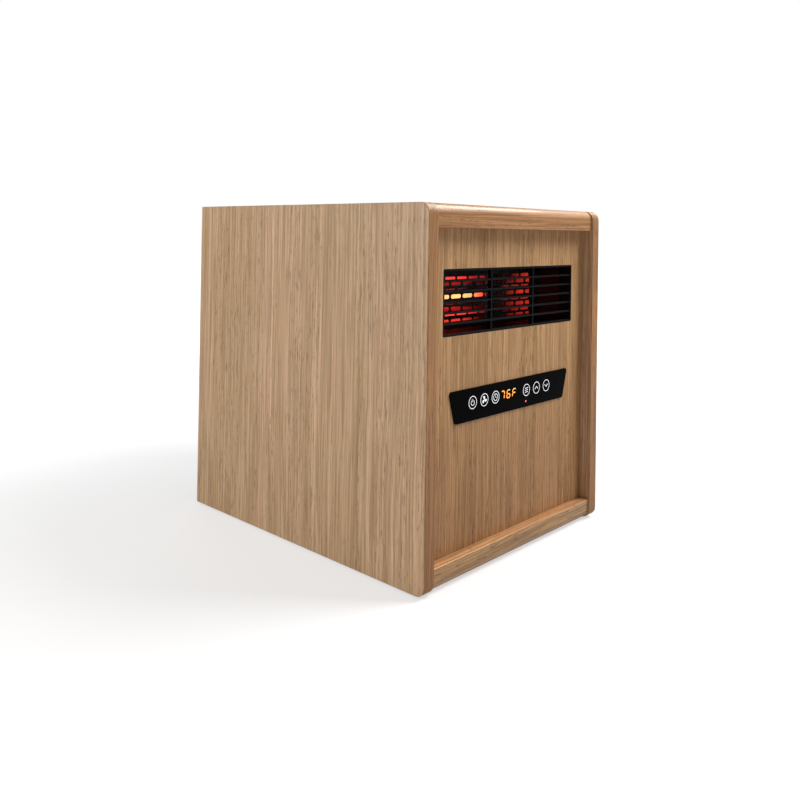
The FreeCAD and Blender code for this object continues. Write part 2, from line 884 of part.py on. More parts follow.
def heat_limiters():
    """The disc thermostat on the heater box and the one-shot fuse beside it."""
    seat = size.duct_top + size.sheet
    middle = (size.box_front + size.box_back) / 2
    across = CENTRE
    half_width = size.cutout_ear_width / 2
    thick = size.cutout_ear_thickness
    flange = block(
        (across - size.cutout_ear, middle - half_width, seat),
        (across + size.cutout_ear, middle + half_width, seat + thick),
    )
    can = rod("Z", (across, middle, seat), size.cutout_tall, size.cutout_radius)
    blade_low = seat + size.cutout_tall - size.sheet
    blade_high = seat + size.cutout_tall + size.blade_tall
    reach = half_width - size.sheet
    blades = []
    for side in (-1, 1):
        spot = across + size.blade_offset * side
        corner = (spot - thick / 2, middle - reach, blade_low)
        blades.append(block(corner, (spot + thick / 2, middle + reach, blade_high)))
    keep(fuse(flange, can, *blades), "thermal_cutout")
    height = seat + size.fuse_radius
    body = rod("X", (across + size.fuse_across, middle, height), size.fuse_long, size.fuse_radius)
    lead_start = across + (size.fuse_across - size.fuse_lead)
    lead_length = size.fuse_long + size.fuse_lead * 2
    leads = rod("X", (lead_start, middle, height), lead_length, size.fuse_lead_radius)
    keep(fuse(body, leads), "thermal_fuse")


# Blower


def blower_housing():
    """The scroll: a throat that opens to the heater box and a ring round the rotor, open behind."""
    piece = Piece("blower_housing")
    wall, radius = size.sheet, size.blower_radius
    low, high = size.duct_low, size.duct_top
    side = size.blower_half
    centre = size.rotor_back
    throat = Rectangle(size.box_back, low - wall, centre, high + wall)
    piece.pad("YZ", [throat], -side, side)
    piece.pad("YZ", [Circle(centre, size.grille_centre, radius + wall)], -side, side)
    piece.pocket("YZ", [Rectangle(size.box_back, low, centre, high)], -side, side)
    piece.pocket("YZ", [Circle(centre, size.grille_centre, radius)], -side, side)
    reach = centre + radius + wall * 2
    mouth = radius * 0.62
    window = Rectangle(
        centre + radius / 3, size.grille_centre - mouth, reach, size.grille_centre + mouth
    )
    piece.pocket("YZ", [window], -side, side)


def blower_ends():
    """The two end plates of the scroll, bored for the bearings."""
    wall, radius = size.sheet, size.blower_radius
    centre = size.rotor_back
    for label, side in (("blower_end_left", -1), ("blower_end_right", 1)):
        low = -size.blower_half - wall * 2 if side < 0 else size.blower_half
        piece = Piece(label)
        plate = Rectangle(size.box_back, size.duct_low - wall, centre, size.duct_top + wall)
        piece.pad("YZ", [plate], low, low + wall * 2)
        piece.pad("YZ", [Circle(centre, size.grille_centre, radius + wall)], low, low + wall * 2)
        bore = Circle(centre, size.grille_centre, size.bearing_radius + size.running_gap)
        piece.pocket("YZ", [bore], low, low + wall * 2)


def blower_rotor():
    """The cross-flow rotor: curved blades between two end discs, with a hub at each disc."""
    piece = Piece("blower_rotor")
    place(piece.body, CENTRE, size.rotor_back, size.grille_centre)
    half = size.rotor_half_length
    disc = size.sheet * 2
    hub = size.shaft_radius * 2.5
    bore = Circle(0, 0, size.shaft_radius)
    rim = Circle(0, 0, size.rotor_radius)
    piece.pad("YZ", [rim, bore], -half, disc - half)
    piece.pad("YZ", [rim, bore], half - disc, half)
    piece.pad("YZ", [Circle(0, 0, hub), bore], disc - half, disc * 4 - half)
    piece.pad("YZ", [Circle(0, 0, hub), bore], half - disc * 4, half - disc)
    inner = size.rotor_radius - size.blade_width
    outer = size.rotor_radius - size.sheet / 2
    middle = (inner + outer) / 2
    hook = size.blade_width * 0.42
    thick = size.sheet
    blade = Polygon(
        [
            (inner, -hook),
            (middle, thick * 0.5),
            (outer, -hook * 0.1 + thick),
            (outer, -hook * 0.1 + thick * 2),
            (middle, thick * 1.6),
            (inner, thick - hook),
        ]
    )
    pad = piece.pad("YZ", [blade], disc - half, half - disc)
    piece.spin(pad, 28)


def blower_drive():
    """Shaft, bearings and the motor on the right-hand end plate."""
    wall = size.sheet * 2
    right = size.blower_half + wall
    centre, height = size.rotor_back, size.grille_centre
    motor_start = right + size.sheet
    shaft_end = motor_start + size.motor_length * 0.6
    shaft_start = -right - size.bearing_radius
    shaft = rod("X", (shaft_start, centre, height), shaft_end - shaft_start, size.shaft_radius)
    keep(shaft, "rotor_shaft")
    bearings = []
    for start in (-right, size.blower_half):
        spot = (start, centre, height)
        ring = rod("X", spot, wall, size.bearing_radius)
        bearings.append(cut(ring, rod("X", spot, wall, size.shaft_radius + size.running_gap)))
    keep(group(*bearings), "shaft_bearings")

    motor = Piece("blower_motor")
    place(motor.body, CENTRE, centre, height)
    can = Circle(0, 0, size.motor_radius)
    bore = Circle(0, 0, size.shaft_radius + size.running_gap)
    motor.pad("YZ", [can, bore], motor_start, motor_start + size.motor_length)
    boss = Circle(0, 0, size.bearing_radius)
    motor.pad("YZ", [boss, bore], right, motor_start)
    ears = size.motor_radius + size.bearing_radius
    ear = Rectangle(-size.bearing_radius, -ears, size.bearing_radius, ears)
    motor.pad("YZ", [ear, bore], motor_start, motor_start + size.sheet * 2)


def hanger_brackets():
    """Two bent brackets that hang the heater box and the blower from the top panel."""
    low, high = size.duct_top + size.sheet, size.top_low
    start, end = size.box_front + size.block_size / 2, size.rotor_back + size.block_size / 4
    thick = size.sheet * 1.5
    brackets = []
    for side in (-1, 1):
        middle = size.blower_half * 0.8 * side
        web = block((middle - thick / 2, start, low), (middle + thick / 2, end, high))
        foot = block((middle, start, low), (middle + size.block_size, end, low + thick))
        head = block((middle, start, high - thick), (middle + size.block_size, end, high))
        window = block(
            (middle - thick, start + size.block_size, low + size.block_size / 2),
            (middle + thick, end - size.block_size, high - size.block_size / 2),
        )
        brackets.append(cut(fuse(web, foot, head), window))
    keep(group(*brackets), "hanger_brackets")


# Control panel


def key_places():
    """The six touch keys: three on each side of the display."""
    spots = []
    for step in (2, 1, 0):
        spots.append(-size.key_first - size.key_pitch * step)
    for step in (0, 1, 2):
        spots.append(size.key_first - size.key_shift + size.key_pitch * step)
    return spots


def control_panel():
    """Gloss glass, the tray behind it, and the board with its display, keys and lamp."""
    glass = Piece("control_glass")
    face = control_outline(CENTRE)
    glass_front = size.panel_front - size.glass_proud
    glass.pad("XZ", [face], glass_front, size.panel_front)
    glass.fillet(size.control_corner, *upright_corner_edges(face))

    tray = Piece("control_tray")
    shell = control_outline(size.tray_inset)
    room = control_outline(size.tray_inset + size.tray_wall)
    floor = size.panel_front + size.tray_depth
    tray.pad("XZ", [shell], size.panel_front, floor)
    low = size.control_centre - size.block_size / 2
    wing = size.control_half_top + size.block_size / 2
    for side in (-1, 1):
        start, end = (-wing, -size.control_half_bottom) if side < 0 else (size.control_half_bottom, wing)
        lug = Rectangle(start, low, end, low + size.block_size)
        tray.pad("XZ", [lug], size.panel_back, size.panel_back + size.tray_wall)
    tray.pocket("XZ", [room], size.panel_front, floor - size.tray_wall)

    board = Piece("control_board")
    board_front = size.panel_front + size.board_depth
    plate = control_outline(size.tray_inset + size.tray_wall + size.filter_play)
    board.pad("XZ", [plate], board_front, board_front + size.board_thickness)

    low = size.control_centre - size.display_half_tall
    left = -size.display_centre - size.display_half_width
    spot = (left, size.panel_front, low)
    width, tall = size.display_half_width * 2, size.display_half_tall * 2
    keep(block(spot, (left + width, board_front, low + tall)), "display_block")

    contacts = []
    for across in key_places():
        contact = (across, size.panel_front, size.control_centre)
        barrel = rod("Y", contact, size.board_depth, size.tray_inset)
        hollow = rod("Y", contact, size.board_depth, size.tray_inset - size.sheet)
        contacts.append(cut(barrel, hollow))
    keep(group(*contacts), "touch_contacts")
    lamp = (size.lamp_across, size.panel_front, size.control_centre - size.lamp_drop)
    keep(rod("Y", lamp, size.board_depth, Length(1.5, "1.5")), "status_lamp")


# Rear


def intake():
    """The slotted intake grille that fills the back panel's opening."""
    piece = Piece("intake_grille")
    half = size.intake_half_width
    plate = Rectangle(-half, size.intake_low, half, size.intake_top)
    grille_front = size.back_outer - size.back_thickness / 3
    piece.pad("XZ", [plate], grille_front, size.back_outer)
    margin = size.intake_pitch
    low = size.intake_low + margin
    slot = Slot(-half / 2, low + size.intake_slot / 2, half - margin, size.intake_slot)
    cuts = piece.pocket("XZ", [slot], grille_front, size.back_outer)
    piece.repeat(cuts, [("H_Axis", half, 2), ("V_Axis", size.intake_pitch, 13)])


def filter_parts():
    """The guide on the back panel and the filter that slides up out of it."""
    guide = Piece("filter_guide")
    play, lip = size.filter_play, size.guide_lip
    half = size.filter_half_width + play
    low, high = size.filter_low, size.filter_top
    face = size.back_outer
    outer = half + size.guide_width
    base = Rectangle(-outer, low - size.guide_width, outer, high)
    guide.pad("XZ", [base], face, face + size.guide_thickness)
    room = Rectangle(-half, low, half, high)
    guide.pocket("XZ", [room], face, face + size.filter_thickness + play * 2)
    window = Rectangle(lip - half, low + lip, half - lip, high)
    guide.pocket("XZ", [window], face, face + size.guide_thickness)

    frame = Piece("filter_frame")
    width = size.filter_half_width
    start, end = face + play, face + play + size.filter_thickness
    border = size.filter_border
    rim = Rectangle(-width, low, width, high)
    hole = Rectangle(border - width, low + border, width - border, high - border)
    frame.pad("XZ", [rim, hole], start, end)
    tab = Rectangle(-size.tab_half_width, high, size.tab_half_width, high + size.tab_height)
    frame.pad("XZ", [tab], start, end)
    mesh_front = start + size.filter_thickness / 4
    mesh_back = mesh_front + size.sheet
    rib = size.sheet * 1.5
    for step in (-1, 0, 1):
        across = width / 2 * step
        bar = Rectangle(across - rib, low + border, across + rib, high - border)
        frame.pad("XZ", [bar], mesh_back, end)
    middle = (low + high) / 2
    bar = Rectangle(border - width, middle - rib, width - border, middle + rib)
    frame.pad("XZ", [bar], mesh_back, end)
    frame.fillet(size.tab_height / 3, *upright_corner_edges(tab)[2:])
    mesh_low = (border - width, mesh_front, low + border)
    mesh_high = (width - border, mesh_back, high - border)
    keep(block(mesh_low, mesh_high), "filter_mesh")


def mains_switch():
    """The rocker switch and the gland that the supply cord comes in through."""
    half = size.rocker_half_width + size.rocker_play
    tall = size.rocker_half_tall + size.rocker_swing
    wall = size.switch_wall
    across, height = size.switch_across, size.switch_height
    depth = size.back_thickness + size.switch_wall * 2
    outer_face = size.back_outer + wall
    housing = Piece("rocker_housing")

    def outline(grow):
        """The rocker's opening, grown on every side."""
        wide, high = half + grow, tall + grow
        return Rectangle(across - wide, height - high, across + wide, height + high)

    housing.pad("XZ", [outline(wall)], outer_face - depth, outer_face)
    housing.pad("XZ", [outline(wall * 2)], size.back_outer, outer_face)
    housing.pocket("XZ", [outline(CENTRE)], outer_face - depth + wall, outer_face)
    pivot = outer_face - depth / 2
    hole = Circle(pivot, height, size.switch_wall + size.running_gap)
    housing.pocket("YZ", [hole], across - half - wall, across + half + wall)

    rocker = Piece("rocker_button")
    rocker.body.Placement = FreeCAD.Placement(
        FreeCAD.Vector(), FreeCAD.Rotation(FreeCAD.Vector(1, 0, 0), ROCKER_TILT)
    )
    place(rocker.body, across, pivot, height)
    reach = depth / 2
    profile = Polygon(
        [
            (-reach * 0.45, -size.rocker_half_tall * 0.45),
            (reach, -size.rocker_half_tall),
            (reach * 0.86, CENTRE),
            (reach, size.rocker_half_tall),
            (-reach * 0.45, size.rocker_half_tall * 0.45),
        ]
    )
    rocker.pad("YZ", [profile], -size.rocker_half_width, size.rocker_half_width)
    stub = half + wall * 0.8
    rocker.pad("YZ", [Circle(0, 0, size.switch_wall)], -stub, stub)

    spot = (size.gland_across, size.back_inner - size.gland_nut, height)
    length = size.gland_nut + size.back_thickness + size.gland_reach
    wide = size.gland_radius * 1.4
    barrel = rod("Y", spot, length, size.gland_radius)
    nut = rod("Y", spot, size.gland_nut, wide)
    collar = rod("Y", (size.gland_across, size.back_outer, height), size.gland_collar, wide)
    keep(cut(fuse(barrel, nut, collar), rod("Y", spot, length, size.gland_bore)), "cord_gland")


# Electronics and tip-over switch on the cabinet's base


def power_electronics():
    """The power board on stand-offs, with relays, transformer, heat sink and terminals."""
    left, front = size.power_across - size.power_width / 2, size.power_back - size.power_long / 2
    low = size.base_top + size.standoff_height
    top = low + size.board_thickness
    corner = (left, front, low)
    keep(block(corner, (left + size.power_width, front + size.power_long, top)), "power_board")
    posts = []
    inset = size.standoff_inset
    for across, deep in mirrored((size.power_width / 2 - inset, size.power_long / 2 - inset)):
        spot = (size.power_across + across, size.power_back + deep, size.base_top)
        posts.append(rod("Z", spot, size.standoff_height, size.standoff_radius))
    keep(group(*posts), "board_standoffs")

    def on_board(across, deep, width, long, tall):
        """A box on the board, placed from its front left corner."""
        spot = (left + across, front + deep, top)
        return block(spot, (left + (across + width), front + (deep + long), top + tall))

    relays = []
    for step in range(2):
        across = size.relay_across + size.relay_step * step
        relays.append(on_board(across, size.relay_deep, size.relay_width, size.relay_long, size.relay_tall))
    keep(group(*relays), "board_relays")

    core = on_board(size.core_across, size.core_deep, size.core_width, size.core_long, size.core_tall)
    inset, reach = size.winding_inset, size.winding_reach
    winding = on_board(
        size.core_across + inset,
        size.core_deep - reach,
        size.core_width - inset * 2,
        size.core_long + reach * 2,
        size.core_tall - size.winding_drop,
    )
    keep(fuse(core, winding), "board_transformer")

    plate = on_board(size.relay_across, size.sink_deep, size.sink_width, size.sink_thickness, size.sink_tall)
    fins = []
    for step in range(7):
        across = size.relay_across + size.fin_inset + size.fin_pitch * step
        deep = size.sink_deep + size.sink_thickness
        fins.append(on_board(across, deep, size.fin_thickness, size.fin_long, size.sink_tall))
    keep(fuse(plate, *fins), "heat_sink")

    tall = size.terminal_tall
    terminals = on_board(size.terminal_across, size.terminal_deep, size.terminal_width, tall, tall)
    ways = []
    for step in range(4):
        across = size.terminal_across + size.terminal_pitch * (step + 0.5)
        spot = (left + across, front + (size.terminal_deep + tall / 2), top + size.terminal_floor)
        ways.append(rod("Z", spot, tall - size.terminal_floor + size.sheet, size.terminal_bore))
    keep(cut(terminals, *ways), "terminal_block")


def tip_over_switch():
    """A forked frame with a pin, the weight that swings on it, and a microswitch beside it."""
    across, deep, floor = size.tip_across, size.tip_back, size.base_top
    half, pin_radius = size.tip_half_width, size.tip_pin_radius
    height = floor + size.tip_pin_height
    deck = floor + size.tip_plate
    plate = block((across - half * 1.6, deep - half, floor), (across + half * 1.6, deep + half, deck))
    ears = []
    for side in (-1, 1):
        low = across + half * side - size.tip_plate / 2
        corner = (low, deep - half * 0.6, deck)
        ears.append(block(corner, (low + size.tip_plate, deep + half * 0.6, height + size.tip_crown)))
    pin_start = (across - half - size.tip_overhang, deep, height)
    pin_length = (half + size.tip_overhang) * 2
    hole = rod("X", pin_start, pin_length, pin_radius)
    keep(cut(fuse(plate, *ears), hole), "tip_switch_frame")
    keep(rod("X", pin_start, pin_length, pin_radius), "tip_switch_pin")

    weight = Piece("tip_switch_weight")
    place(weight.body, across, deep, height)
    arm = Rectangle(-pin_radius * 1.6, -size.tip_pin_height * 0.55, pin_radius * 1.6, pin_radius * 2)
    eye = Circle(0, 0, pin_radius + size.running_gap)
    weight.pad("YZ", [arm, eye], -half * 0.3, half * 0.3)
    bob = Circle(0, -size.tip_pin_height * 0.6, pin_radius * 4)
    weight.pad("YZ", [bob], -half * 0.7, half * 0.7)

    near = deep + half * 1.7
    top = floor + size.micro_tall
    case = block((across - half * 0.6, near, floor), (across + half * 0.6, deep + half * 2.5, top))
    reach = size.lever_width / 2
    lever = block((across - reach, near, top), (across + reach, deep + half * 1.9, top + size.lever_tall))
    keep(fuse(case, lever), "tip_microswitch")


def wire_looms():
    """The looms inside the cabinet: controls, heater and mains."""
    board_top = size.base_top + size.standoff_height + size.board_thickness
    left = size.power_across - size.power_width / 4
    tray_back = size.panel_front + size.tray_depth
    front = size.power_back - size.power_long / 2
    radius = size.loom_radius
    loom(
        "control_loom",
        [
            (left, tray_back, size.control_centre),
            (left, tray_back + 34.0, size.control_centre),
            (left - 12.0, tray_back + 46.0, size.control_centre - 48.0),
            (left - 16.0, tray_back + 60.0, size.base_top + 84.0),
            (left - 12.0, tray_back + 100.0, size.base_top + 52.0),
            (left, front - 20.0, size.base_top + 56.0),
            (left, front + 6.0, size.base_top + 52.0),
            (left, front + 6.0, board_top),
        ],
        radius,
    )
    side = -size.blower_half - 24.0
    loom(
        "heater_loom",
        [
            (side + 40.0, size.power_back + 38.0, board_top),
            (side + 40.0, size.power_back + 38.0, board_top + 50.0),
            (side + 20.0, size.power_back + 34.0, board_top + 100.0),
            (side, size.power_back + 10.0, board_top + 150.0),
            (side - 4.0, size.power_back - 20.0, board_top + 200.0),
            (side, size.box_back + 16.0, board_top + 250.0),
            (side, size.box_back + 14.0, board_top + 300.0),
            (side, size.box_back + 10.0, size.duct_top + 14.0),
            (side + 12.0, size.box_back - 14.0, size.duct_top + 28.0),
            (side + 18.0, size.box_back - 44.0, size.duct_top + 27.0),
            (side + 18.0, size.box_back - 44.0, size.duct_top + size.sheet),
        ],
        radius,
    )


def export_parts():
    """Check every object of the document, then write each sub-part to its own file."""
    doc.recompute()
    failed = [item.Label for item in doc.Objects if {"Invalid", "Error"} & set(item.State)]
    for label, item in nodes.items():
        if item.Shape.isNull() or not item.Shape.isValid() or not item.Shape.Solids:
            failed.append(label)
    if failed:
        raise RuntimeError(f"failed: {sorted(set(failed))}")
    os.makedirs("parts", exist_ok=True)
    for label, item in nodes.items():
        item.Shape.exportStep(os.path.join("parts", f"{label}.step"))
    print(f"{len(nodes)} sub-parts written")


def main():
    side_panel("left_side_panel", -size.right, -size.inner, -size.right)
    side_panel("right_side_panel", size.inner, size.right, size.right)
    rails()
    front_panel()
    boards()
    feet()
    back_screws()
    outlet_grille()
    flue("outlet_duct", size.duct_half_width, size.duct_front, size.box_front, size.grille_flange)
    guard_screen()
    heater_box()
    reflector()
    tubes()
    tube_brackets()
    heat_limiters()
    blower_housing()
    blower_ends()
    blower_rotor()
    blower_drive()
    hanger_brackets()
    control_panel()
    intake()
    filter_parts()
    mains_switch()
    power_electronics()
    tip_over_switch()
    wire_looms()
    export_parts()


main()
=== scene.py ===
"""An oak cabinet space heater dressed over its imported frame.

Every sub-assembly of the heater is a class. It holds its sizes, gives its frame nodes their finishes and
builds the finer pieces that ride on them: printed symbols, glowing coils, woven cloth, springs and wires.
Lengths are in metres.
"""

import logging
import math
from dataclasses import dataclass, field
from enum import Enum
from typing import ClassVar

import bmesh
import bpy
import numpy as np
from mathutils import Matrix, Vector


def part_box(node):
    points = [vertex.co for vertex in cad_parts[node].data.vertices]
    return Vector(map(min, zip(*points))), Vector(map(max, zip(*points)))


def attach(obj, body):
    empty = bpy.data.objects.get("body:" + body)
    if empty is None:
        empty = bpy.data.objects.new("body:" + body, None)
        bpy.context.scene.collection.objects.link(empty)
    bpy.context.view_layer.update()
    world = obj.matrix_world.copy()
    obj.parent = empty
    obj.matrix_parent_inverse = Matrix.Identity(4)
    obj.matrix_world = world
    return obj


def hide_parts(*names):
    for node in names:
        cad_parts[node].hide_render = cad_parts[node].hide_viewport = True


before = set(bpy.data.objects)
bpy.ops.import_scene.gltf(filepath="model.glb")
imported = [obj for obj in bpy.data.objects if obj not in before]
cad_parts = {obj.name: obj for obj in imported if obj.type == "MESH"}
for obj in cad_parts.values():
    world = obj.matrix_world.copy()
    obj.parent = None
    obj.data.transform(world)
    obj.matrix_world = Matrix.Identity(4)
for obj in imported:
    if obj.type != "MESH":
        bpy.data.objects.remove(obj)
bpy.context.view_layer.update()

logging.basicConfig(level=logging.INFO, format="%(message)s")
log = logging.getLogger("heater")

Socket = bpy.types.NodeSocket
Feed = Socket | float | tuple | list
Feeds = dict[str | int, Feed]
Colour = tuple[float, float, float, float]

X_AXIS, Y_AXIS, Z_AXIS = np.eye(3)
SHARP_EDGE = math.radians(40)


def tone(red: float, green: float, blue: float) -> Colour:
    """Turns a display colour into the linear one that the shader takes.

    Args:
        red: the red part, 0 to 255.
        green: the green part, 0 to 255.
        blue: the blue part, 0 to 255.

    Returns:
        The linear colour with an alpha of one. Each part is divided by 255, and above the short straight
        start of the display curve it is raised to the power 2.4.
    """
    part = np.array((red, green, blue)) / 255
    line = np.where(part <= 0.04045, part / 12.92, ((part + 0.055) / 1.055) ** 2.4)
    return (*line.tolist(), 1.0)


def grey(level: float) -> Colour:
    """The linear grey of one level."""
    return (level, level, level, 1.0)


# ---------------------------------------------------------------------------------------------- shader graphs
@dataclass
class Graph:
    """A node tree that is being wired up."""

    tree: bpy.types.NodeTree

    def add(self, kind: str, feeds: Feeds | None = None, **settings: object) -> bpy.types.Node:
        """Adds one node.

        Args:
            kind: the node's type name.
            feeds: what goes into its inputs, by name or number: another node's socket, or a constant.
            settings: the node's own properties.

        Returns:
            The new node.
        """
        node = self.tree.nodes.new(kind)
        for name, value in settings.items():
            setattr(node, name, value)
        for name, feed in (feeds or {}).items():
            self.feed(node.inputs[name], feed)
        return node

    def feed(self, socket: Socket, feed: Feed) -> None:
        """Links a socket to another, or sets its constant.

        Args:
            socket: the input to fill.
            feed: another node's socket, or a constant.
        """
        if isinstance(feed, Socket):
            self.tree.links.new(feed, socket)
        else:
            socket.default_value = feed

    def maths(self, operation: str, first: Feed, second: Feed = 0.0) -> Socket:
        """Works one sum on two numbers."""
        return self.add("ShaderNodeMath", {0: first, 1: second}, operation=operation).outputs[0]

    def vector(self, operation: str, first: Feed, second: Feed = (0, 0, 0)) -> Socket:
        """Works one sum on two vectors."""
        return self.add("ShaderNodeVectorMath", {0: first, 1: second}, operation=operation).outputs["Vector"]

    def dot(self, first: Feed, second: Feed) -> Socket:
        """The dot product of two vectors."""
        node = self.add("ShaderNodeVectorMath", {0: first, 1: second}, operation="DOT_PRODUCT")
        return node.outputs["Value"]

    def noise(self, place: Feed, across: float, along: float | None = None, detail: float = 2.0,
              rough: float = 0.5) -> Socket:
        """Soft noise, stretched along Z.

        Args:
            place: the point to read it at.
            across: how many waves a metre holds in X and Y.
            along: how many it holds in Z, the same as across where it is left out.
            detail: how many finer layers are added.
            rough: how strong each finer layer is.

        Returns:
            The noise, about 0.5 with most of it between 0.3 and 0.7.
        """
        scale = (across, across, across if along is None else along)
        spot = self.vector("MULTIPLY", place, scale)
        feeds = {"Vector": spot, "Scale": 1.0, "Detail": detail, "Roughness": rough}
        return self.add("ShaderNodeTexNoise", feeds).outputs[0]

    def ramp(self, value: Feed, low: float, high: float, start: float = 0.0, end: float = 1.0) -> Socket:
        """Carries a value smoothly from low..high to start..end and holds it at both ends."""
        feeds = {0: value, 1: low, 2: high, 3: start, 4: end}
        return self.add("ShaderNodeMapRange", feeds, interpolation_type="SMOOTHSTEP").outputs[0]

    def cloud(self, place: Feed, waves: float, low: float, high: float, start: float = 0.0, end: float = 1.0,
              detail: float = 2.0, rough: float = 0.5) -> Socket:
        """Soft patches: even noise, of so many waves a metre, carried from low..high to start..end."""
        return self.ramp(self.noise(place, waves, detail=detail, rough=rough), low, high, start, end)

    def mix(self, factor: Feed, first: Feed, second: Feed, blend: str = "MIX") -> Socket:
        """Mixes two colours by a factor.

        Args:
            factor: the share of the second colour.
            first: the first colour.
            second: the second colour.
            blend: how they mix.

        Returns:
            The mixed colour.
        """
        feeds = {0: factor, 6: first, 7: second}
        node = self.add("ShaderNodeMix", feeds, data_type="RGBA", blend_type=blend, clamp_factor=True)
        return node.outputs[2]

    def bump(self, height: Feed, depth: float, strength: float = 1.0) -> Socket:
        """Turns a height of 0 to 1 into a shading normal, for a relief that is depth metres deep."""
        feeds = {"Height": height, "Distance": depth, "Strength": strength}
        return self.add("ShaderNodeBump", feeds).outputs[0]


class Kind(Enum):
    """What a group's socket carries."""

    NUMBER = "NodeSocketFloat"
    COLOUR = "NodeSocketColor"
    VECTOR = "NodeSocketVector"


@dataclass
class Effect:
    """A shader node group with named inputs and outputs, used by more than one finish."""

    name: str
    takes: dict[str, Kind]
    gives: dict[str, Kind]
    graph: Graph = field(init=False)
    inside: bpy.types.Node = field(init=False)
    outside: bpy.types.Node = field(init=False)

    def __post_init__(self) -> None:
        """Makes the empty group and its sockets."""
        tree = bpy.data.node_groups.new(self.name, "ShaderNodeTree")
        for name, kind in self.takes.items():
            tree.interface.new_socket(name, in_out="INPUT", socket_type=kind.value)
        for name, kind in self.gives.items():
            tree.interface.new_socket(name, in_out="OUTPUT", socket_type=kind.value)
        self.graph = Graph(tree)
        self.inside = tree.nodes.new("NodeGroupInput")
        self.outside = tree.nodes.new("NodeGroupOutput")

    def take(self, name: str) -> Socket:
        """The socket inside the group that brings this input."""
        return self.inside.outputs[name]

    def give(self, name: str, value: Feed) -> None:
        """Sends a value out of the group."""
        self.graph.feed(self.outside.inputs[name], value)

    def use(self, graph: Graph, **feeds: Feed) -> bpy.types.NodeOutputs:
        """Places the group in a material's graph and returns its outputs.

        Args:
            graph: the material's graph.
            feeds: what goes into the group's inputs, by name.

        Returns:
            The group's outputs, by name.
        """
        node = graph.tree.nodes.new("ShaderNodeGroup")
        node.node_tree = self.graph.tree
        for name, feed in feeds.items():
            graph.feed(node.inputs[name], feed)
        return node.outputs


def timber_effect() -> Effect:
    """Straight-grained oak that grows along Z.

    Broad bands of two tones lie under growth rings, streaks and hair lines, each of which brightens and
    darkens the wood by its own share, blue the most and red the least. All of them waver together. Short dark
    pores and pale flecks lie along the streaks.

    Returns:
        The group. It gives the colour, a height for the bump and the share of open pores.
    """
    takes = {"Vector": Kind.VECTOR, **dict.fromkeys(("Pale", "Middle", "Pore"), Kind.COLOUR),
             **dict.fromkeys(("Band", "Ring", "Streak", "Hair", "Poring"), Kind.NUMBER)}
    effect = Effect("oak_grain", takes, {"Color": Kind.COLOUR, "Height": Kind.NUMBER, "Open": Kind.NUMBER})
    graph, take = effect.graph, effect.take
    sway = graph.maths("SUBTRACT", graph.noise(take("Vector"), 6, 3.0, 3.0, 0.45), 0.5)
    drift = graph.maths("MULTIPLY", sway, 0.014)
    shift = graph.add("ShaderNodeCombineXYZ", {0: drift, 1: drift, 2: 0.0}).outputs[0]
    place = graph.vector("ADD", take("Vector"), shift)

    def swing(value: Feed, low: float, high: float, share: str) -> Socket:
        """One factor that runs from one minus the share to one plus it."""
        away = graph.ramp(value, low, high, -1.0, 1.0)
        return graph.maths("ADD", 1.0, graph.maths("MULTIPLY", away, take(share)))

    band = graph.ramp(graph.noise(place, 21, 0.5, 3.0), 0.36, 0.64)
    ring = graph.noise(place, 60, 0.8, 3.0, 0.6)
    streak = graph.noise(place, 330, 1.6, 3.0, 0.7)
    hair = graph.noise(place, 440, 6.0, 2.0, 0.5)
    pore = graph.ramp(graph.noise(place, 560, 55.0, 2.0, 0.6), 0.56, 0.66)
    fleck = graph.ramp(graph.noise(graph.vector("ADD", place, (3.1, 1.7, 0.4)), 420, 0.8, 2.0), 0.60, 0.68)
    fade = graph.ramp(graph.noise(place, 45, 2.0, 2.0), 0.38, 0.6, 0.2)
    colour = graph.mix(graph.maths("MULTIPLY", band, take("Band")), take("Pale"), take("Middle"))
    level = graph.maths("MULTIPLY", swing(ring, 0.34, 0.66, "Ring"), swing(streak, 0.38, 0.62, "Streak"))
    level = graph.maths("MULTIPLY", level, swing(hair, 0.36, 0.64, "Hair"))
    level = graph.maths("MULTIPLY", level, graph.ramp(fleck, 0.0, 1.0, 1.0, 1.16))
    green, blue = graph.maths("POWER", level, 1.15), graph.maths("POWER", level, 1.5)
    warm = graph.add("ShaderNodeCombineColor", {0: level, 1: green, 2: blue}).outputs[0]
    colour = graph.mix(1.0, colour, warm, "MULTIPLY")
    shade = graph.maths("MULTIPLY", graph.maths("MULTIPLY", pore, take("Poring")), fade)
    effect.give("Color", graph.mix(shade, colour, take("Pore")))
    low = graph.maths("ADD", graph.maths("MULTIPLY", hair, 0.5), graph.maths("MULTIPLY", pore, -0.5))
    effect.give("Height", graph.maths("ADD", 0.5, low))
    effect.give("Open", pore)
    return effect


def moulded_effect() -> Effect:
    """Fine spark-eroded texture of moulded plastic, for the bump, and broad faint cloudiness.

    Returns:
        The group. It gives a height for the bump and the clouds.
    """
    takes = {"Vector": Kind.VECTOR, "Scale": Kind.NUMBER}
    effect = Effect("moulded_grain", takes, {"Height": Kind.NUMBER, "Cloud": Kind.NUMBER})
    graph, take = effect.graph, effect.take
    place = graph.vector("MULTIPLY", take("Vector"),
                         graph.add("ShaderNodeCombineXYZ", {n: take("Scale") for n in range(3)}).outputs[0])
    effect.give("Height", graph.cloud(place, 1.0, 0.35, 0.65, detail=3.0, rough=0.6))
    effect.give("Cloud", graph.cloud(take("Vector"), 38, 0.3, 0.7, detail=4.0, rough=0.6))
    return effect


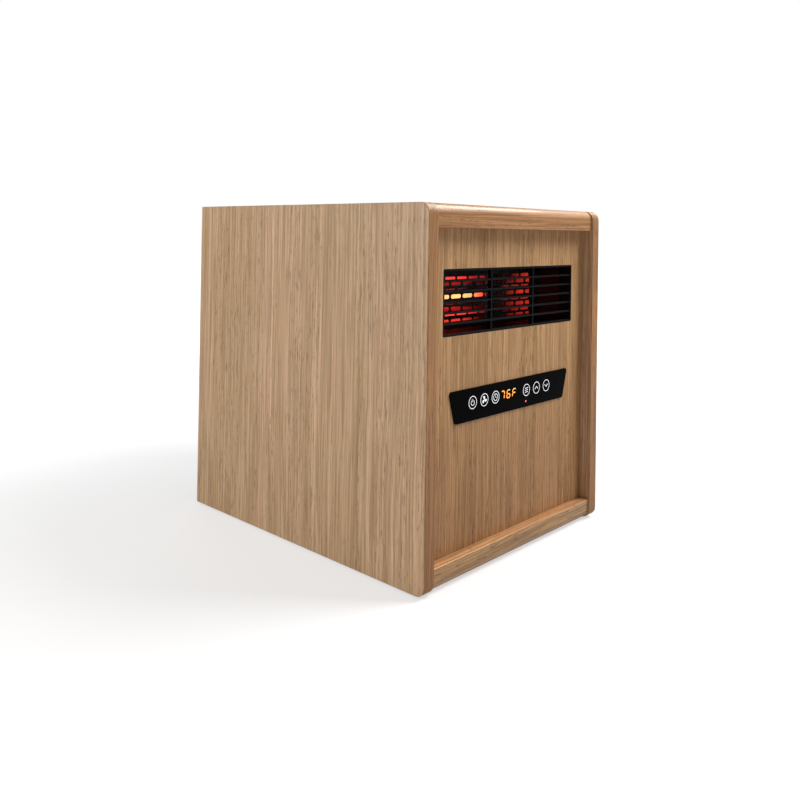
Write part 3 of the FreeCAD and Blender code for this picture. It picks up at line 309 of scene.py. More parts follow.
def rolled_effect() -> Effect:
    """Rolled or brushed metal: long fine scratches along one axis over faint broad cloudiness.

    Returns:
        The group. It gives a height for the bump and the clouds.
    """
    takes = {"Vector": Kind.VECTOR}
    effect = Effect("rolled_grain", takes, {"Height": Kind.NUMBER, "Cloud": Kind.NUMBER})
    graph, take = effect.graph, effect.take
    long = graph.vector("MULTIPLY", take("Vector"), (0.02, 1.0, 1.0))
    effect.give("Height", graph.cloud(long, 1600, 0.3, 0.7))
    effect.give("Cloud", graph.cloud(take("Vector"), 30, 0.3, 0.7, detail=4.0, rough=0.65))
    return effect


def wear_and_highlight_effect() -> Effect:
    """Rubbed edges: where the rounded-off normal differs from the true one, broken up by noise.

    Returns:
        The group. It gives the colour with its rubbed edges, on the rails and grille partly a painted
        highlight.
    """
    takes = {"Vector": Kind.VECTOR, "Color": Kind.COLOUR, "Worn": Kind.COLOUR, "Amount": Kind.NUMBER,
             "Reach": Kind.NUMBER}
    effect = Effect("edge_wear_and_highlight", takes, {"Color": Kind.COLOUR})
    graph, take = effect.graph, effect.take
    soft = graph.add("ShaderNodeBevel", {"Radius": take("Reach")}, samples=4).outputs[0]
    true = graph.add("ShaderNodeNewGeometry").outputs["True Normal"]
    edge = graph.ramp(graph.maths("SUBTRACT", 1.0, graph.dot(soft, true)), 0.01, 0.16)
    broken = graph.cloud(take("Vector"), 210, 0.3, 0.6, 0.35, detail=3.0, rough=0.7)
    mask = graph.maths("MULTIPLY", graph.maths("MULTIPLY", edge, broken), take("Amount"))
    effect.give("Color", graph.mix(mask, take("Color"), take("Worn")))
    return effect


def dust_effect() -> Effect:
    """Fine house dust that settles where a surface faces up, in soft uneven patches.

    Returns:
        The group. It gives the dusty colour and the share of dust.
    """
    takes = {"Vector": Kind.VECTOR, "Color": Kind.COLOUR, "Amount": Kind.NUMBER}
    effect = Effect("settled_dust", takes, {"Color": Kind.COLOUR, "Mask": Kind.NUMBER})
    graph, take = effect.graph, effect.take
    normal = graph.add("ShaderNodeNewGeometry").outputs["Normal"]
    upward = graph.ramp(graph.dot(normal, (0.0, 0.0, 1.0)), 0.25, 0.95)
    patch = graph.cloud(take("Vector"), 90, 0.35, 0.7, 0.3, detail=5.0, rough=0.7)
    mask = graph.maths("MULTIPLY", graph.maths("MULTIPLY", upward, patch), take("Amount"))
    effect.give("Color", graph.mix(mask, take("Color"), tone(168, 162, 152)))
    effect.give("Mask", mask)
    return effect


@dataclass
class Effects:
    """The shared groups, each built once."""

    timber: Effect = field(default_factory=timber_effect)
    moulded: Effect = field(default_factory=moulded_effect)
    rolled: Effect = field(default_factory=rolled_effect)
    wear: Effect = field(default_factory=wear_and_highlight_effect)
    dust: Effect = field(default_factory=dust_effect)


EFFECTS = Effects()


# ------------------------------------------------------------------------------------------------- finishes
class Grain(Enum):
    """Which way a board's grain runs, as the turn that brings it onto Z."""

    UPRIGHT = (0.0, 0.0, 0.0)
    LEVEL = (0.0, math.pi / 2, 0.0)
    FRONT_TO_BACK = (math.pi / 2, 0.0, 0.0)


@dataclass(frozen=True)
class Finish:
    """One material of the heater. A finish with the same name is made only once."""

    name: str

    def material(self) -> bpy.types.Material:
        """The Blender material, made the first time that it is asked for.

        Returns:
            The material, with its shader wired up.
        """
        ready = bpy.data.materials.get(self.name)
        if ready:
            return ready
        made = bpy.data.materials.new(self.name)
        made.use_nodes = True
        made.node_tree.nodes.clear()
        graph = Graph(made.node_tree)
        place = graph.add("ShaderNodeTexCoord").outputs["Object"]
        shader = graph.add("ShaderNodeBsdfPrincipled", self.dress(graph, place))
        graph.add("ShaderNodeOutputMaterial", {"Surface": shader.outputs[0]})
        return made

    def dress(self, graph: Graph, place: Socket) -> Feeds:
        """Wires the finish up and says what feeds its shader."""
        raise NotImplementedError


@dataclass(frozen=True)
class Oak(Finish):
    """Lacquered oak veneer. The level edges of an upright board carry a band with its grain front to back."""

    grain: Grain = Grain.UPRIGHT
    pale: Colour = tone(195, 157, 121)
    middle: Colour = tone(187, 152, 112)
    pore: Colour = tone(112, 78, 50)
    band: float = 0.9
    ring: float = 0.05
    streak: float = 0.08
    hair: float = 0.18
    poring: float = 0.6
    edge: float = 0.4
    rough: float = 0.46
    coat: float = 0.08
    coat_rough: float = 0.3
    # foot_shade_tint is painted shade on front-facing faces, fading out up to the foot height.
    # front_tone_and_shade darkens front-facing faces: partly their own darker edge tone, partly painted
    # shade.
    front_tone_and_shade: Colour = grey(1.0)
    foot_shade_tint: Colour = grey(1.0)
    foot: float = 0.33

    def dress(self, graph: Graph, place: Socket) -> Feeds:
        """Grain, worn arrises, front faces with painted shade that deepens low down, satin lacquer and grain
        relief.

        Args:
            graph: the material's graph.
            place: the point to shade, in the piece's own coordinates.

        Returns:
            What feeds each input of the shader, by name.
        """
        normal = graph.add("ShaderNodeNewGeometry").outputs["Normal"]
        turned = graph.add("ShaderNodeMapping", {"Vector": place, "Rotation": self.grain.value}).outputs[0]
        if self.grain is Grain.UPRIGHT:
            band = {"Vector": place, "Rotation": Grain.FRONT_TO_BACK.value}
            level = graph.maths("ABSOLUTE", graph.dot(normal, (0.0, 0.0, 1.0)))
            edge = graph.maths("GREATER_THAN", level, 0.7)
            turned = graph.mix(edge, turned, graph.add("ShaderNodeMapping", band).outputs[0])
        wood = EFFECTS.timber.use(graph, Vector=turned, Pale=self.pale, Middle=self.middle, Pore=self.pore,
                                  Band=self.band, Ring=self.ring, Streak=self.streak, Hair=self.hair,
                                  Poring=self.poring)
        # Painted shade: front-facing faces are darkened, and more so towards the foot.
        facing = graph.ramp(graph.dot(normal, (0.0, -1.0, 0.0)), 0.55, 0.9)
        shaded_front = graph.mix(1.0, wood["Color"], self.front_tone_and_shade, "MULTIPLY")
        height = graph.add("ShaderNodeSeparateXYZ", {0: place}).outputs[2]
        foot_shaded = graph.mix(1.0, shaded_front, self.foot_shade_tint, "MULTIPLY")
        shaded_front = graph.mix(graph.ramp(height, 0.02, self.foot, 1.0, 0.0), shaded_front, foot_shaded)
        colour = graph.mix(facing, wood["Color"], shaded_front)
        # Rubbed arrises: wear, which on the rails at full amount is partly a painted highlight.
        worn = EFFECTS.wear.use(graph, Vector=place, Color=colour, Worn=tone(226, 196, 158),
                                Amount=self.edge, Reach=0.0012)
        return {"Base Color": worn["Color"],
                "Roughness": graph.maths("ADD", self.rough, graph.maths("MULTIPLY", wood["Open"], 0.22)),
                "Coat Weight": self.coat,
                "Coat Roughness": self.coat_rough,
                "Normal": graph.bump(wood["Height"], 0.00016, 0.6)}


@dataclass(frozen=True)
class Board(Finish):
    """Pressed wood board: pale and dark fibres and chips in a brown matrix."""

    base: Colour = tone(150, 116, 82)
    chip: Colour = tone(186, 154, 116)
    dark: Colour = tone(104, 74, 50)
    scale: float = 260.0
    rough: float = 0.8

    def dress(self, graph: Graph, place: Socket) -> Feeds:
        """Cells of chips of mixed tone over a fine fibre noise, with a little dust.

        Args:
            graph: the material's graph.
            place: the point to shade, in the piece's own coordinates.

        Returns:
            What feeds each input of the shader, by name.
        """
        cell = graph.add("ShaderNodeTexVoronoi", {"Vector": place, "Scale": self.scale, "Randomness": 1.0})
        pick = graph.add("ShaderNodeSeparateColor", {0: cell.outputs["Color"]}).outputs[0]
        fibre = graph.noise(place, 700, detail=4.0, rough=0.7)
        colour = graph.mix(graph.ramp(pick, 0.35, 0.9, 0.0, 0.7), self.base, self.chip)
        colour = graph.mix(graph.ramp(fibre, 0.5, 0.72, 0.0, 0.65), colour, self.dark)
        return {"Base Color": EFFECTS.dust.use(graph, Vector=place, Color=colour, Amount=0.35)["Color"],
                "Roughness": self.rough,
                "Normal": graph.bump(fibre, 0.0002, 0.6)}


@dataclass(frozen=True)
class Plastic(Finish):
    """Moulded plastic or rubber with a spark-eroded texture."""

    base: Colour = tone(24, 24, 25)
    worn: Colour = tone(70, 70, 72)
    scale: float = 1300.0
    depth: float = 0.00008
    rough: float = 0.42
    wear: float = 0.35
    dust: float = 0.15
    specular: float = 0.4
    glow: Colour = grey(0.0)
    glow_strength: float = 0.0

    def dress(self, graph: Graph, place: Socket) -> Feeds:
        """Cloudy colour, rubbed edges, dust on top faces and a fine relief.

        Args:
            graph: the material's graph.
            place: the point to shade, in the piece's own coordinates.

        Returns:
            What feeds each input of the shader, by name.
        """
        fine = EFFECTS.moulded.use(graph, Vector=place, Scale=self.scale)
        lighter = graph.mix(1.0, self.base, grey(1.35), "MULTIPLY")
        cloudy = graph.mix(fine["Cloud"], self.base, lighter)
        worn = EFFECTS.wear.use(graph, Vector=place, Color=cloudy, Worn=self.worn, Amount=self.wear,
                                Reach=0.0007)
        dusty = EFFECTS.dust.use(graph, Vector=place, Color=worn["Color"], Amount=self.dust)
        dull = graph.maths("ADD", fine["Cloud"], dusty["Mask"])
        return {"Base Color": dusty["Color"],
                "Roughness": graph.ramp(dull, 0.0, 1.6, self.rough, self.rough + 0.16),
                "Specular IOR Level": self.specular,
                "Emission Color": self.glow,
                "Emission Strength": self.glow_strength,
                "Normal": graph.bump(fine["Height"], self.depth, 0.5)}


@dataclass(frozen=True)
class Metal(Finish):
    """Sheet, bar or wire metal with rolled grain."""

    base: Colour = tone(178, 178, 176)
    stain: Colour = tone(120, 116, 110)
    rough: float = 0.32
    metallic: float = 1.0
    stained: float = 0.5
    wear: float = 0.3
    dust: float = 0.2

    def dress(self, graph: Graph, place: Socket) -> Feeds:
        """Cloudy stains, bright edges, dust, and scratches in the roughness and the relief.

        Args:
            graph: the material's graph.
            place: the point to shade, in the piece's own coordinates.

        Returns:
            What feeds each input of the shader, by name.
        """
        rolled = EFFECTS.rolled.use(graph, Vector=place)
        colour = graph.mix(graph.maths("MULTIPLY", rolled["Cloud"], self.stained), self.base, self.stain)
        worn = EFFECTS.wear.use(graph, Vector=place, Color=colour, Worn=tone(214, 212, 208),
                                Amount=self.wear, Reach=0.0006)
        mixed = graph.maths("ADD", graph.maths("MULTIPLY", rolled["Height"], 0.5), rolled["Cloud"])
        dusty = EFFECTS.dust.use(graph, Vector=place, Color=worn["Color"], Amount=self.dust)
        return {"Base Color": dusty["Color"],
                "Metallic": self.metallic,
                "Roughness": graph.ramp(mixed, 0.2, 1.4, self.rough, self.rough + 0.2),
                "Normal": graph.bump(rolled["Height"], 0.00004, 0.35)}


@dataclass(frozen=True)
class Ceramic(Finish):
    """Unglazed fired ceramic, chalky and slightly browned by heat."""

    base: Colour = tone(222, 214, 198)
    scorch: Colour = tone(150, 118, 88)

    def dress(self, graph: Graph, place: Socket) -> Feeds:
        """Browned patches over a chalky, pitted surface.

        Args:
            graph: the material's graph.
            place: the point to shade, in the piece's own coordinates.

        Returns:
            What feeds each input of the shader, by name.
        """
        patch = graph.cloud(place, 60, 0.45, 0.7, 0.0, 0.6, 5.0, 0.65)
        pit = graph.cloud(place, 1500, 0.55, 0.7)
        return {"Base Color": graph.mix(patch, self.base, self.scorch),
                "Roughness": 0.85,
                "Normal": graph.bump(graph.maths("SUBTRACT", 1.0, pit), 0.0001, 0.6)}


@dataclass(frozen=True)
class HotQuartz(Finish):
    """A quartz tube lit by the wire inside it, brightest at its middle and faded before its ends.

    Half of its wall has a reflecting coat, so one side is dimmer: lit is 1 where the top is the bright side,
    -1 where the underside is, and 0 for a tube without a coat. Its surroundings get the thrown colour, a
    deeper red than the tube itself.
    """

    hot: Colour = (1.0, 0.18, 0.02, 1.0)
    cool: Colour = (0.55, 0.006, 0.0, 1.0)
    strength: float = 1.0
    height: float = 0.0
    lit: float = 0.0
    near: float = 0.030
    reach: float = 0.126
    turn: float = 0.0032
    thrown: Colour = (0.95, 0.05, 0.035, 1.0)

    def dress(self, graph: Graph, place: Socket) -> Feeds:
        """Light that falls with the distance from the middle, with a faint mark at each turn of the wire.

        Args:
            graph: the material's graph.
            place: the point to shade, in the piece's own coordinates.

        Returns:
            What feeds each input of the shader, by name.
        """
        across, _, above = graph.add("ShaderNodeSeparateXYZ", {0: place}).outputs
        heat = graph.ramp(graph.maths("ABSOLUTE", across), self.near, self.reach, 1.0, 0.0)
        wave = graph.maths("SINE", graph.maths("MULTIPLY", across, 2 * math.pi / self.turn))
        mottle = graph.cloud(place, 160, 0.3, 0.7, 0.85, 1.0, 3.0)
        level = graph.maths("MULTIPLY", heat, graph.ramp(wave, -1.0, 1.0, 0.72, 1.0))
        level = graph.maths("MULTIPLY", level, mottle)
        light = graph.mix(level, self.cool, self.hot)
        if self.lit:
            rise = graph.maths("MULTIPLY", graph.maths("SUBTRACT", above, self.height), self.lit)
            light = graph.mix(1.0, light, graph.ramp(rise, -0.0035, 0.002, 0.07, 1.0), "MULTIPLY")
        seen = graph.add("ShaderNodeLightPath").outputs["Is Camera Ray"]
        thrown = graph.mix(1.0, self.thrown, level, "MULTIPLY")
        return {"Emission Color": graph.mix(seen, thrown, light),
                "Emission Strength": self.strength,
                "Base Color": graph.mix(mottle, tone(120, 34, 28), tone(150, 48, 40)),
                "Roughness": graph.ramp(mottle, 0.85, 1.0, 0.12, 0.26),
                "Transmission Weight": 0.18,
                "IOR": 1.46}


@dataclass(frozen=True)
class HotWire(Finish):
    """A resistance wire at working heat."""

    bright: Colour = (1.0, 0.14, 0.06, 1.0)
    dim: Colour = (1.0, 0.07, 0.03, 1.0)
    strength: float = 2.6

    def dress(self, graph: Graph, place: Socket) -> Feeds:
        """Light that varies a little from turn to turn over dark oxidised metal.

        Args:
            graph: the material's graph.
            place: the point to shade, in the piece's own coordinates.

        Returns:
            What feeds each input of the shader, by name.
        """
        vary = graph.cloud(place, 120, 0.3, 0.7)
        return {"Emission Color": graph.mix(vary, self.dim, self.bright),
                "Emission Strength": self.strength,
                "Base Color": graph.mix(vary, tone(60, 50, 46), tone(96, 82, 72)),
                "Roughness": 0.6,
                "Metallic": 0.6}


@dataclass(frozen=True)
class BlackGlass(Finish):
    """Glossy black panel glass with a few finger marks."""

    base: Colour = tone(2, 2, 3)

    def dress(self, graph: Graph, place: Socket) -> Feeds:
        """Deep black with faint smears in the gloss and specks of dust.

        Args:
            graph: the material's graph.
            place: the point to shade, in the piece's own coordinates.

        Returns:
            What feeds each input of the shader, by name.
        """
        level = graph.vector("MULTIPLY", place, (0.35, 1.0, 1.0))
        speck = graph.cloud(place, 900, 0.76, 0.82, 0.0, 0.5, 1.0)
        return {"Base Color": graph.mix(speck, self.base, tone(120, 118, 114)),
                "Roughness": graph.cloud(level, 46, 0.42, 0.75, 0.05, 0.24, 5.0, 0.62),
                "Specular IOR Level": 0.018}


@dataclass(frozen=True)
class Print(Finish):
    """Screen-printed ink lit faintly from behind, or a lit segment."""

    ink: Colour = tone(236, 238, 240)
    strength: float = 0.7

    def dress(self, graph: Graph, place: Socket) -> Feeds:
        """Slightly uneven ink and light.

        Args:
            graph: the material's graph.
            place: the point to shade, in the piece's own coordinates.

        Returns:
            What feeds each input of the shader, by name.
        """
        duller = graph.mix(1.0, self.ink, grey(0.86), "MULTIPLY")
        colour = graph.mix(graph.cloud(place, 900, 0.3, 0.7, detail=3.0), duller, self.ink)
        return {"Base Color": colour, "Emission Color": colour, "Emission Strength": self.strength,
                "Roughness": 0.4}


@dataclass(frozen=True)
class Circuit(Finish):
    """Green circuit board with copper tracks under its mask and small tinned pads."""

    mask: Colour = tone(20, 74, 44)
    track: Colour = tone(44, 112, 66)
    pad: Colour = tone(190, 186, 170)

    def dress(self, graph: Graph, place: Socket) -> Feeds:
        """Square-cornered tracks from cells measured along the axes, and pads at the cells' middles.

        Args:
            graph: the material's graph.
            place: the point to shade, in the piece's own coordinates.

        Returns:
            What feeds each input of the shader, by name.
        """
        cells = graph.add("ShaderNodeTexVoronoi", {"Vector": place, "Scale": 210.0, "Randomness": 0.7},
                          distance="CHEBYCHEV").outputs["Distance"]
        track = graph.ramp(graph.maths("SINE", graph.maths("MULTIPLY", cells, 26.0)), 0.1, 0.35)
        tinned = graph.ramp(cells, 0.10, 0.14, 1.0, 0.0)
        return {"Base Color": graph.mix(tinned, graph.mix(track, self.mask, self.track), self.pad),
                "Metallic": tinned,
                "Roughness": graph.ramp(tinned, 0.0, 1.0, 0.32, 0.22),
                "Normal": graph.bump(graph.maths("ADD", track, tinned), 0.00005, 0.6)}


@dataclass(frozen=True)
class Cloth(Finish):
    """Dark nylon yarn with a twist and a soft sheen."""

    base: Colour = tone(34, 35, 38)
    lint: Colour = tone(128, 124, 118)
    twist: float = 0.0009

    def dress(self, graph: Graph, place: Socket) -> Feeds:
        """Twisted yarn relief, with lint caught here and there.

        Args:
            graph: the material's graph.
            place: the point to shade, in the piece's own coordinates.

        Returns:
            What feeds each input of the shader, by name.
        """
        across, _, above = graph.add("ShaderNodeSeparateXYZ", {0: place}).outputs
        slant = graph.maths("MULTIPLY", graph.maths("ADD", across, above), 2 * math.pi / self.twist)
        caught = graph.cloud(place, 70, 0.5, 0.72, 0.0, 0.5, 5.0, 0.7)
        return {"Base Color": graph.mix(caught, self.base, self.lint),
                "Roughness": 0.62,
                "Sheen Weight": 0.3,
                "Normal": graph.bump(graph.maths("SINE", slant), 0.00008, 0.5)}


# ------------------------------------------------------------------------------------------- mesh building
@dataclass
class Shape:
    """Closed strands and plates gathered into one mesh."""

    points: list[np.ndarray] = field(default_factory=list)
    faces: list[list[int]] = field(default_factory=list)
    count: int = 0

    def strands(self, rings: np.ndarray, looped: bool = False) -> "Shape":
        """Skins a block of strands.

        Point (s, r, k) is corner k of ring r of strand s. Each quad joins corners k and k+1 of rings r and
        r+1. The corners always close round; the rings close only where the strand is looped, and else each
        end gets one flat face.

        Args:
            rings: the points, as strands by rings by corners by three.
            looped: whether the last ring joins the first.

        Returns:
            This shape.
        """
        many, rows, sides = rings.shape[:3]
        index = np.arange(rows * sides).reshape(rows, sides)
        wide = np.hstack([index, index[:, :1]])
        tall = np.vstack([wide, wide[:1]]) if looped else wide
        quads = np.stack([tall[:-1, :-1], tall[1:, :-1], tall[1:, 1:], tall[:-1, 1:]], -1).reshape(-1, 4)
        starts = self.count + np.arange(many)[:, None, None] * rows * sides
        self.faces += (quads[None] + starts).reshape(-1, 4).tolist()
        if not looped:
            self.faces += (index[0, ::-1][None] + starts[:, 0]).tolist()
            self.faces += (index[-1][None] + starts[:, 0]).tolist()
        self.points.append(rings.reshape(-1, 3))
        self.count += many * rows * sides
        return self

    def ink(self, stroke: "Stroke", plane: float, thick: float) -> "Shape":
        """Prints a stroke on the plane, as thick as the ink."""
        return self.strands(stroke.rings(plane, thick), stroke.looped)

    def piece(self, name: str, body: str, slot: str, finish: Finish, smooth: bool = True) -> bpy.types.Object:
        """Makes the gathered mesh an object that rides on a body.

        Args:
            name: the piece's name.
            body: the frame body that it rides on.
            slot: the record's material slot; not used.
            finish: its finish.
            smooth: whether its faces shade smoothly, apart from edges sharper than 40 degrees.

        Returns:
            The object, at the origin, unturned and unscaled, with its faces turned outwards.
        """
        mesh = bpy.data.meshes.new(name)
        mesh.from_pydata(np.concatenate(self.points).tolist(), [], self.faces)
        form = bmesh.new()
        form.from_mesh(mesh)
        bmesh.ops.recalc_face_normals(form, faces=form.faces)
        form.to_mesh(mesh)
        form.free()
        if smooth:
            mesh.shade_smooth()
            mesh.set_sharp_from_angle(angle=SHARP_EDGE)
        made = bpy.data.objects.new(name, mesh)
        bpy.context.scene.collection.objects.link(made)
        mesh.materials.append(finish.material())
        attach(made, body)
        log.info("%s: %d faces on %s", name, len(mesh.polygons), body)
        return made


def carried(path: np.ndarray, across: np.ndarray, above: np.ndarray, outline: np.ndarray) -> np.ndarray:
    """Carries a flat outline along paths.

    Args:
        path: the paths' points, as strands by rings by three.
        across: the direction of the outline's first axis at each point, broadcast to the path.
        above: the direction of its second axis, broadcast to the path.
        outline: the outline's corners, as corners by two, or rings by corners by two where it changes.

    Returns:
        The rings: path plus first coordinate times across plus second coordinate times above.
    """
    first, second = outline[..., 0][..., None], outline[..., 1][..., None]
    return path[:, :, None, :] + first * across[..., None, :] + second * above[..., None, :]


def round_outline(radius: float, sides: int) -> np.ndarray:
    """A circle's corners: radius times the cosine and sine of equal steps."""
    turn = np.arange(sides) * 2 * np.pi / sides
    return radius * np.column_stack([np.cos(turn), np.sin(turn)])


def coil(centre: tuple[float, float, float], radius: float, wire: float, start: float, end: float, turns: int,
         axis: int, steps: int = 14, sides: int = 6) -> np.ndarray:
    """A helix of round wire about a line along X or Y.

    Its middle runs along the axis at an even rate while it goes round at radius. The wire's section is
    spanned by the outward direction and the one square to it and to the path.

    Args:
        centre: a point on the axis.
        radius: from the axis to the middle of the wire.
        wire: the wire's radius.
        start: where the helix starts along the axis.
        end: where it ends.
        turns: how many turns it has.
        axis: 0 for X, 1 for Y.
        steps: points in each turn.
        sides: corners round the wire.

    Returns:
        One strand's rings.
    """
    angle = np.linspace(0, 2 * np.pi * turns, turns * steps + 1)
    ahead = np.linspace(start, end, angle.size)
    out = np.zeros((1, angle.size, 3))
    one, two = [n for n in range(3) if n != axis]
    out[0, :, one], out[0, :, two] = np.cos(angle), np.sin(angle)
    path = np.array(centre) + radius * out
    path[0, :, axis] = ahead
    heading = np.gradient(path[0], axis=0)[None]
    side = np.cross(heading, out)
    side /= np.linalg.norm(side, axis=-1, keepdims=True)
    return carried(path, out, side, round_outline(wire, sides))


@dataclass(frozen=True)
class Stroke:
    """A printed line on an upright plane that faces -Y."""

    line: np.ndarray
    width: float | np.ndarray
    looped: bool = False

    def rings(self, plane: float, thick: float) -> np.ndarray:
        """Carries a thin rectangle along the line.

        At each point the rectangle is as wide as the stroke, square to the line, and as thick as the ink,
        from the plane outwards.

        Args:
            plane: the Y of the surface that is printed on.
            thick: the ink's thickness.

        Returns:
            One strand's rings.
        """
        line = np.asarray(self.line, float)
        closed = np.vstack([line[-1:], line, line[:1]]) if self.looped else line
        slope = np.gradient(closed, axis=0)
        slope = slope[1:-1] if self.looped else slope
        slope /= np.linalg.norm(slope, axis=1, keepdims=True)
        path = np.insert(line, 1, plane, axis=1)[None]
        across = np.stack([-slope[:, 1], np.zeros(len(line)), slope[:, 0]], -1)[None]
        half = np.broadcast_to(np.asarray(self.width) / 2, (len(line),))
        corner = np.array([[-1, 0], [1, 0], [1, 1], [-1, 1]], float)
        outline = corner * np.stack([half, np.full(len(line), thick)], -1)[:, None, :]
        return carried(path, across, -Y_AXIS, outline[None])

    @classmethod
    def ring(cls, centre: tuple[float, float], radius: float, width: float, count: int) -> "Stroke":
        """A stroke all the way round a circle, with count corners."""
        return cls(arc(centre, radius, 0, 360 - 360 / count, count), width, True)


def arc(centre: tuple[float, float], radius: float, start: float, end: float, count: int) -> np.ndarray:
    """Points on a circle's arc, from start to end degrees anticlockwise from +X."""
    angle = np.radians(np.linspace(start, end, count))
    return np.column_stack([centre[0] + radius * np.cos(angle), centre[1] + radius * np.sin(angle)])


def dress(finish: Finish, *nodes: str) -> None:
    """Gives frame nodes one finish.

    Args:
        finish: the finish.
        nodes: the names of the frame's nodes.
    """
    for node in nodes:
        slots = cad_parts[node].data.materials
        slots.clear()
        slots.append(finish.material())
        log.info("%s: %s", node, finish.name)


# ------------------------------------------------------------------------------------------- sub-assemblies
@dataclass
class Assembly:
    """A sub-assembly: its finishes, each with the frame nodes that wear it, and its finer pieces."""

    looks: ClassVar[dict[Finish, tuple[str, ...]]] = {}

    def build(self) -> None:
        """Dresses the frame nodes, then makes the finer pieces."""
        for finish, nodes in self.looks.items():
            dress(finish, *nodes)
        self.details()

    def details(self) -> None:
        """Makes the finer pieces of a sub-assembly that has some."""


@dataclass
class Cabinet(Assembly):
    """The oak sides, top, front and rails, with the boards, screws and feet that hold them."""

    looks = {
        Oak("oak_side", front_tone_and_shade=(0.80, 0.62, 0.44, 1.0), foot_shade_tint=(0.78, 0.70, 0.62, 1.0)):
            ("left_side_panel", "right_side_panel"),
        Oak("oak_top", Grain.LEVEL): ("top_panel",),
        # The front panel's darker, more saturated oak is painted shade of the recessed front.
        Oak("oak_front", pale=tone(188, 144, 98), middle=tone(180, 137, 88), pore=tone(92, 58, 32), coat=0.03,
            rough=0.55, streak=0.10, hair=0.2, edge=0.2, foot_shade_tint=(0.76, 0.68, 0.60, 1.0)): ("front_panel",),
        # The rails' rubbed edges at full amount are partly wear and partly a painted highlight.
        Oak("oak_rail", Grain.LEVEL, pale=tone(196, 143, 96), middle=tone(184, 132, 84),
            pore=tone(92, 56, 32), ring=0.10, streak=0.15, poring=0.7, coat=0.35, coat_rough=0.12, rough=0.42,
            edge=1.0, foot_shade_tint=(0.78, 0.84, 0.72, 1.0), foot=0.2): ("top_rail", "bottom_rail"),
        Board("chipboard"): ("cabinet_base", "corner_blocks"),
        Board("fibreboard", tone(116, 86, 60), tone(140, 108, 78), tone(86, 62, 42), 900.0, 0.7):
            ("back_panel",),
        Plastic("foot_rubber_black", tone(28, 27, 27), tone(60, 58, 56), 700.0, 0.0001, 0.75, 0.2, 0.3):
            ("feet",),
        Metal("zinc_screw", tone(196, 190, 168), tone(150, 140, 104), 0.3, 1.0, 0.5, 0.4, 0.1):
            ("back_screws", "foot_screws"),
    }


@dataclass
class Outlet(Assembly):
    """The louvered grille, the duct behind it and the guard screen."""

    looks = {
        # The grey-blue rubbed louver edges are partly wear and partly a painted highlight on the louver
        # fronts.
        Plastic("grille_black", tone(12, 11, 14), tone(46, 46, 52), 1500.0, 0.00006, 0.4, 0.3, 0.02, 0.14):
            ("outlet_grille",),
        Metal("duct_black", tone(13, 12, 13), tone(9, 8, 9), 0.7, 0.0, 0.5, 0.02, 0.0): ("outlet_duct",),
        Metal("guard_black", tone(16, 14, 14), tone(10, 9, 9), 0.55, 0.0, 0.6, 0.02, 0.0): ("guard_screen",),
    }


@dataclass
class Heater(Assembly):
    """Three quartz tubes with coiled wires, their ceramic ends, reflector, brackets and cut-outs."""

    coil_radius: float = 0.0022
    wire_radius: float = 0.0004
    coil_half_length: float = 0.122
    turns: int = 76
    end_gap: float = 0.001
    lead_share: float = 1.6
    lead_sides: int = 8
    lead_steps: int = 6
    red: Colour = (0.88, 0.055, 0.045, 1.0)
    dull: Colour = (0.20, 0.008, 0.008, 1.0)
    yellow: Colour = (1.0, 0.62, 0.20, 1.0)
    orange: Colour = (0.8, 0.04, 0.03, 1.0)
    looks = {
        Metal("box_polished", tone(214, 206, 200), tone(176, 160, 148), 0.09, 1.0, 0.5, 0.1, 0.0):
            ("heater_box",),
        Metal("reflector_bright", tone(206, 204, 200), tone(170, 150, 120), 0.14, 1.0, 0.4, 0.1, 0.0):
            ("reflector",),
        Metal("bracket_zinc", tone(170, 170, 168), tone(120, 116, 108)): ("tube_brackets", "hanger_brackets"),
        Ceramic("end_ceramic"): ("ceramic_holders",),
        Metal("limiter_case", tone(186, 184, 178), tone(132, 124, 112), 0.28):
            ("thermal_cutout", "thermal_fuse"),
    }

    def details(self) -> None:
        """Lights the tubes and coils a wire with two straight leads in each."""
        boxes = {tube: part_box(f"quartz_tube_{tube}") for tube in ("upper", "middle", "lower")}
        centres = {tube: (low + high) / 2 for tube, (low, high) in boxes.items()}
        for tube, lit, near, reach in (("upper", 1.0, 0.045, 0.108), ("lower", -1.0, 0.050, 0.120)):
            glow = HotQuartz(f"quartz_{tube}", self.red, self.dull, 1.5, centres[tube][2], lit, near, reach)
            dress(glow, f"quartz_tube_{tube}")
        dress(HotQuartz("quartz_middle", self.yellow, self.orange, 1.6, near=0.06), "quartz_tube_middle")
        shape = Shape()
        outline = round_outline(self.wire_radius * self.lead_share, self.lead_sides)
        for tube, centre in centres.items():
            half, far = self.coil_half_length, boxes[tube][1][0] - self.end_gap
            shape.strands(coil(centre, self.coil_radius, self.wire_radius, -half, half, self.turns, 0))
            for side in (-1, 1):
                lead = np.linspace((side * half, centre[1], centre[2] + self.coil_radius),
                                   (side * far, centre[1], centre[2]), self.lead_steps)[None]
                shape.strands(carried(lead, Y_AXIS, Z_AXIS, outline))
        coils = shape.piece("tube_filament_coils", "cabinet", "filament_wire", HotWire("hot_wire"))
        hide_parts("tube_filaments")


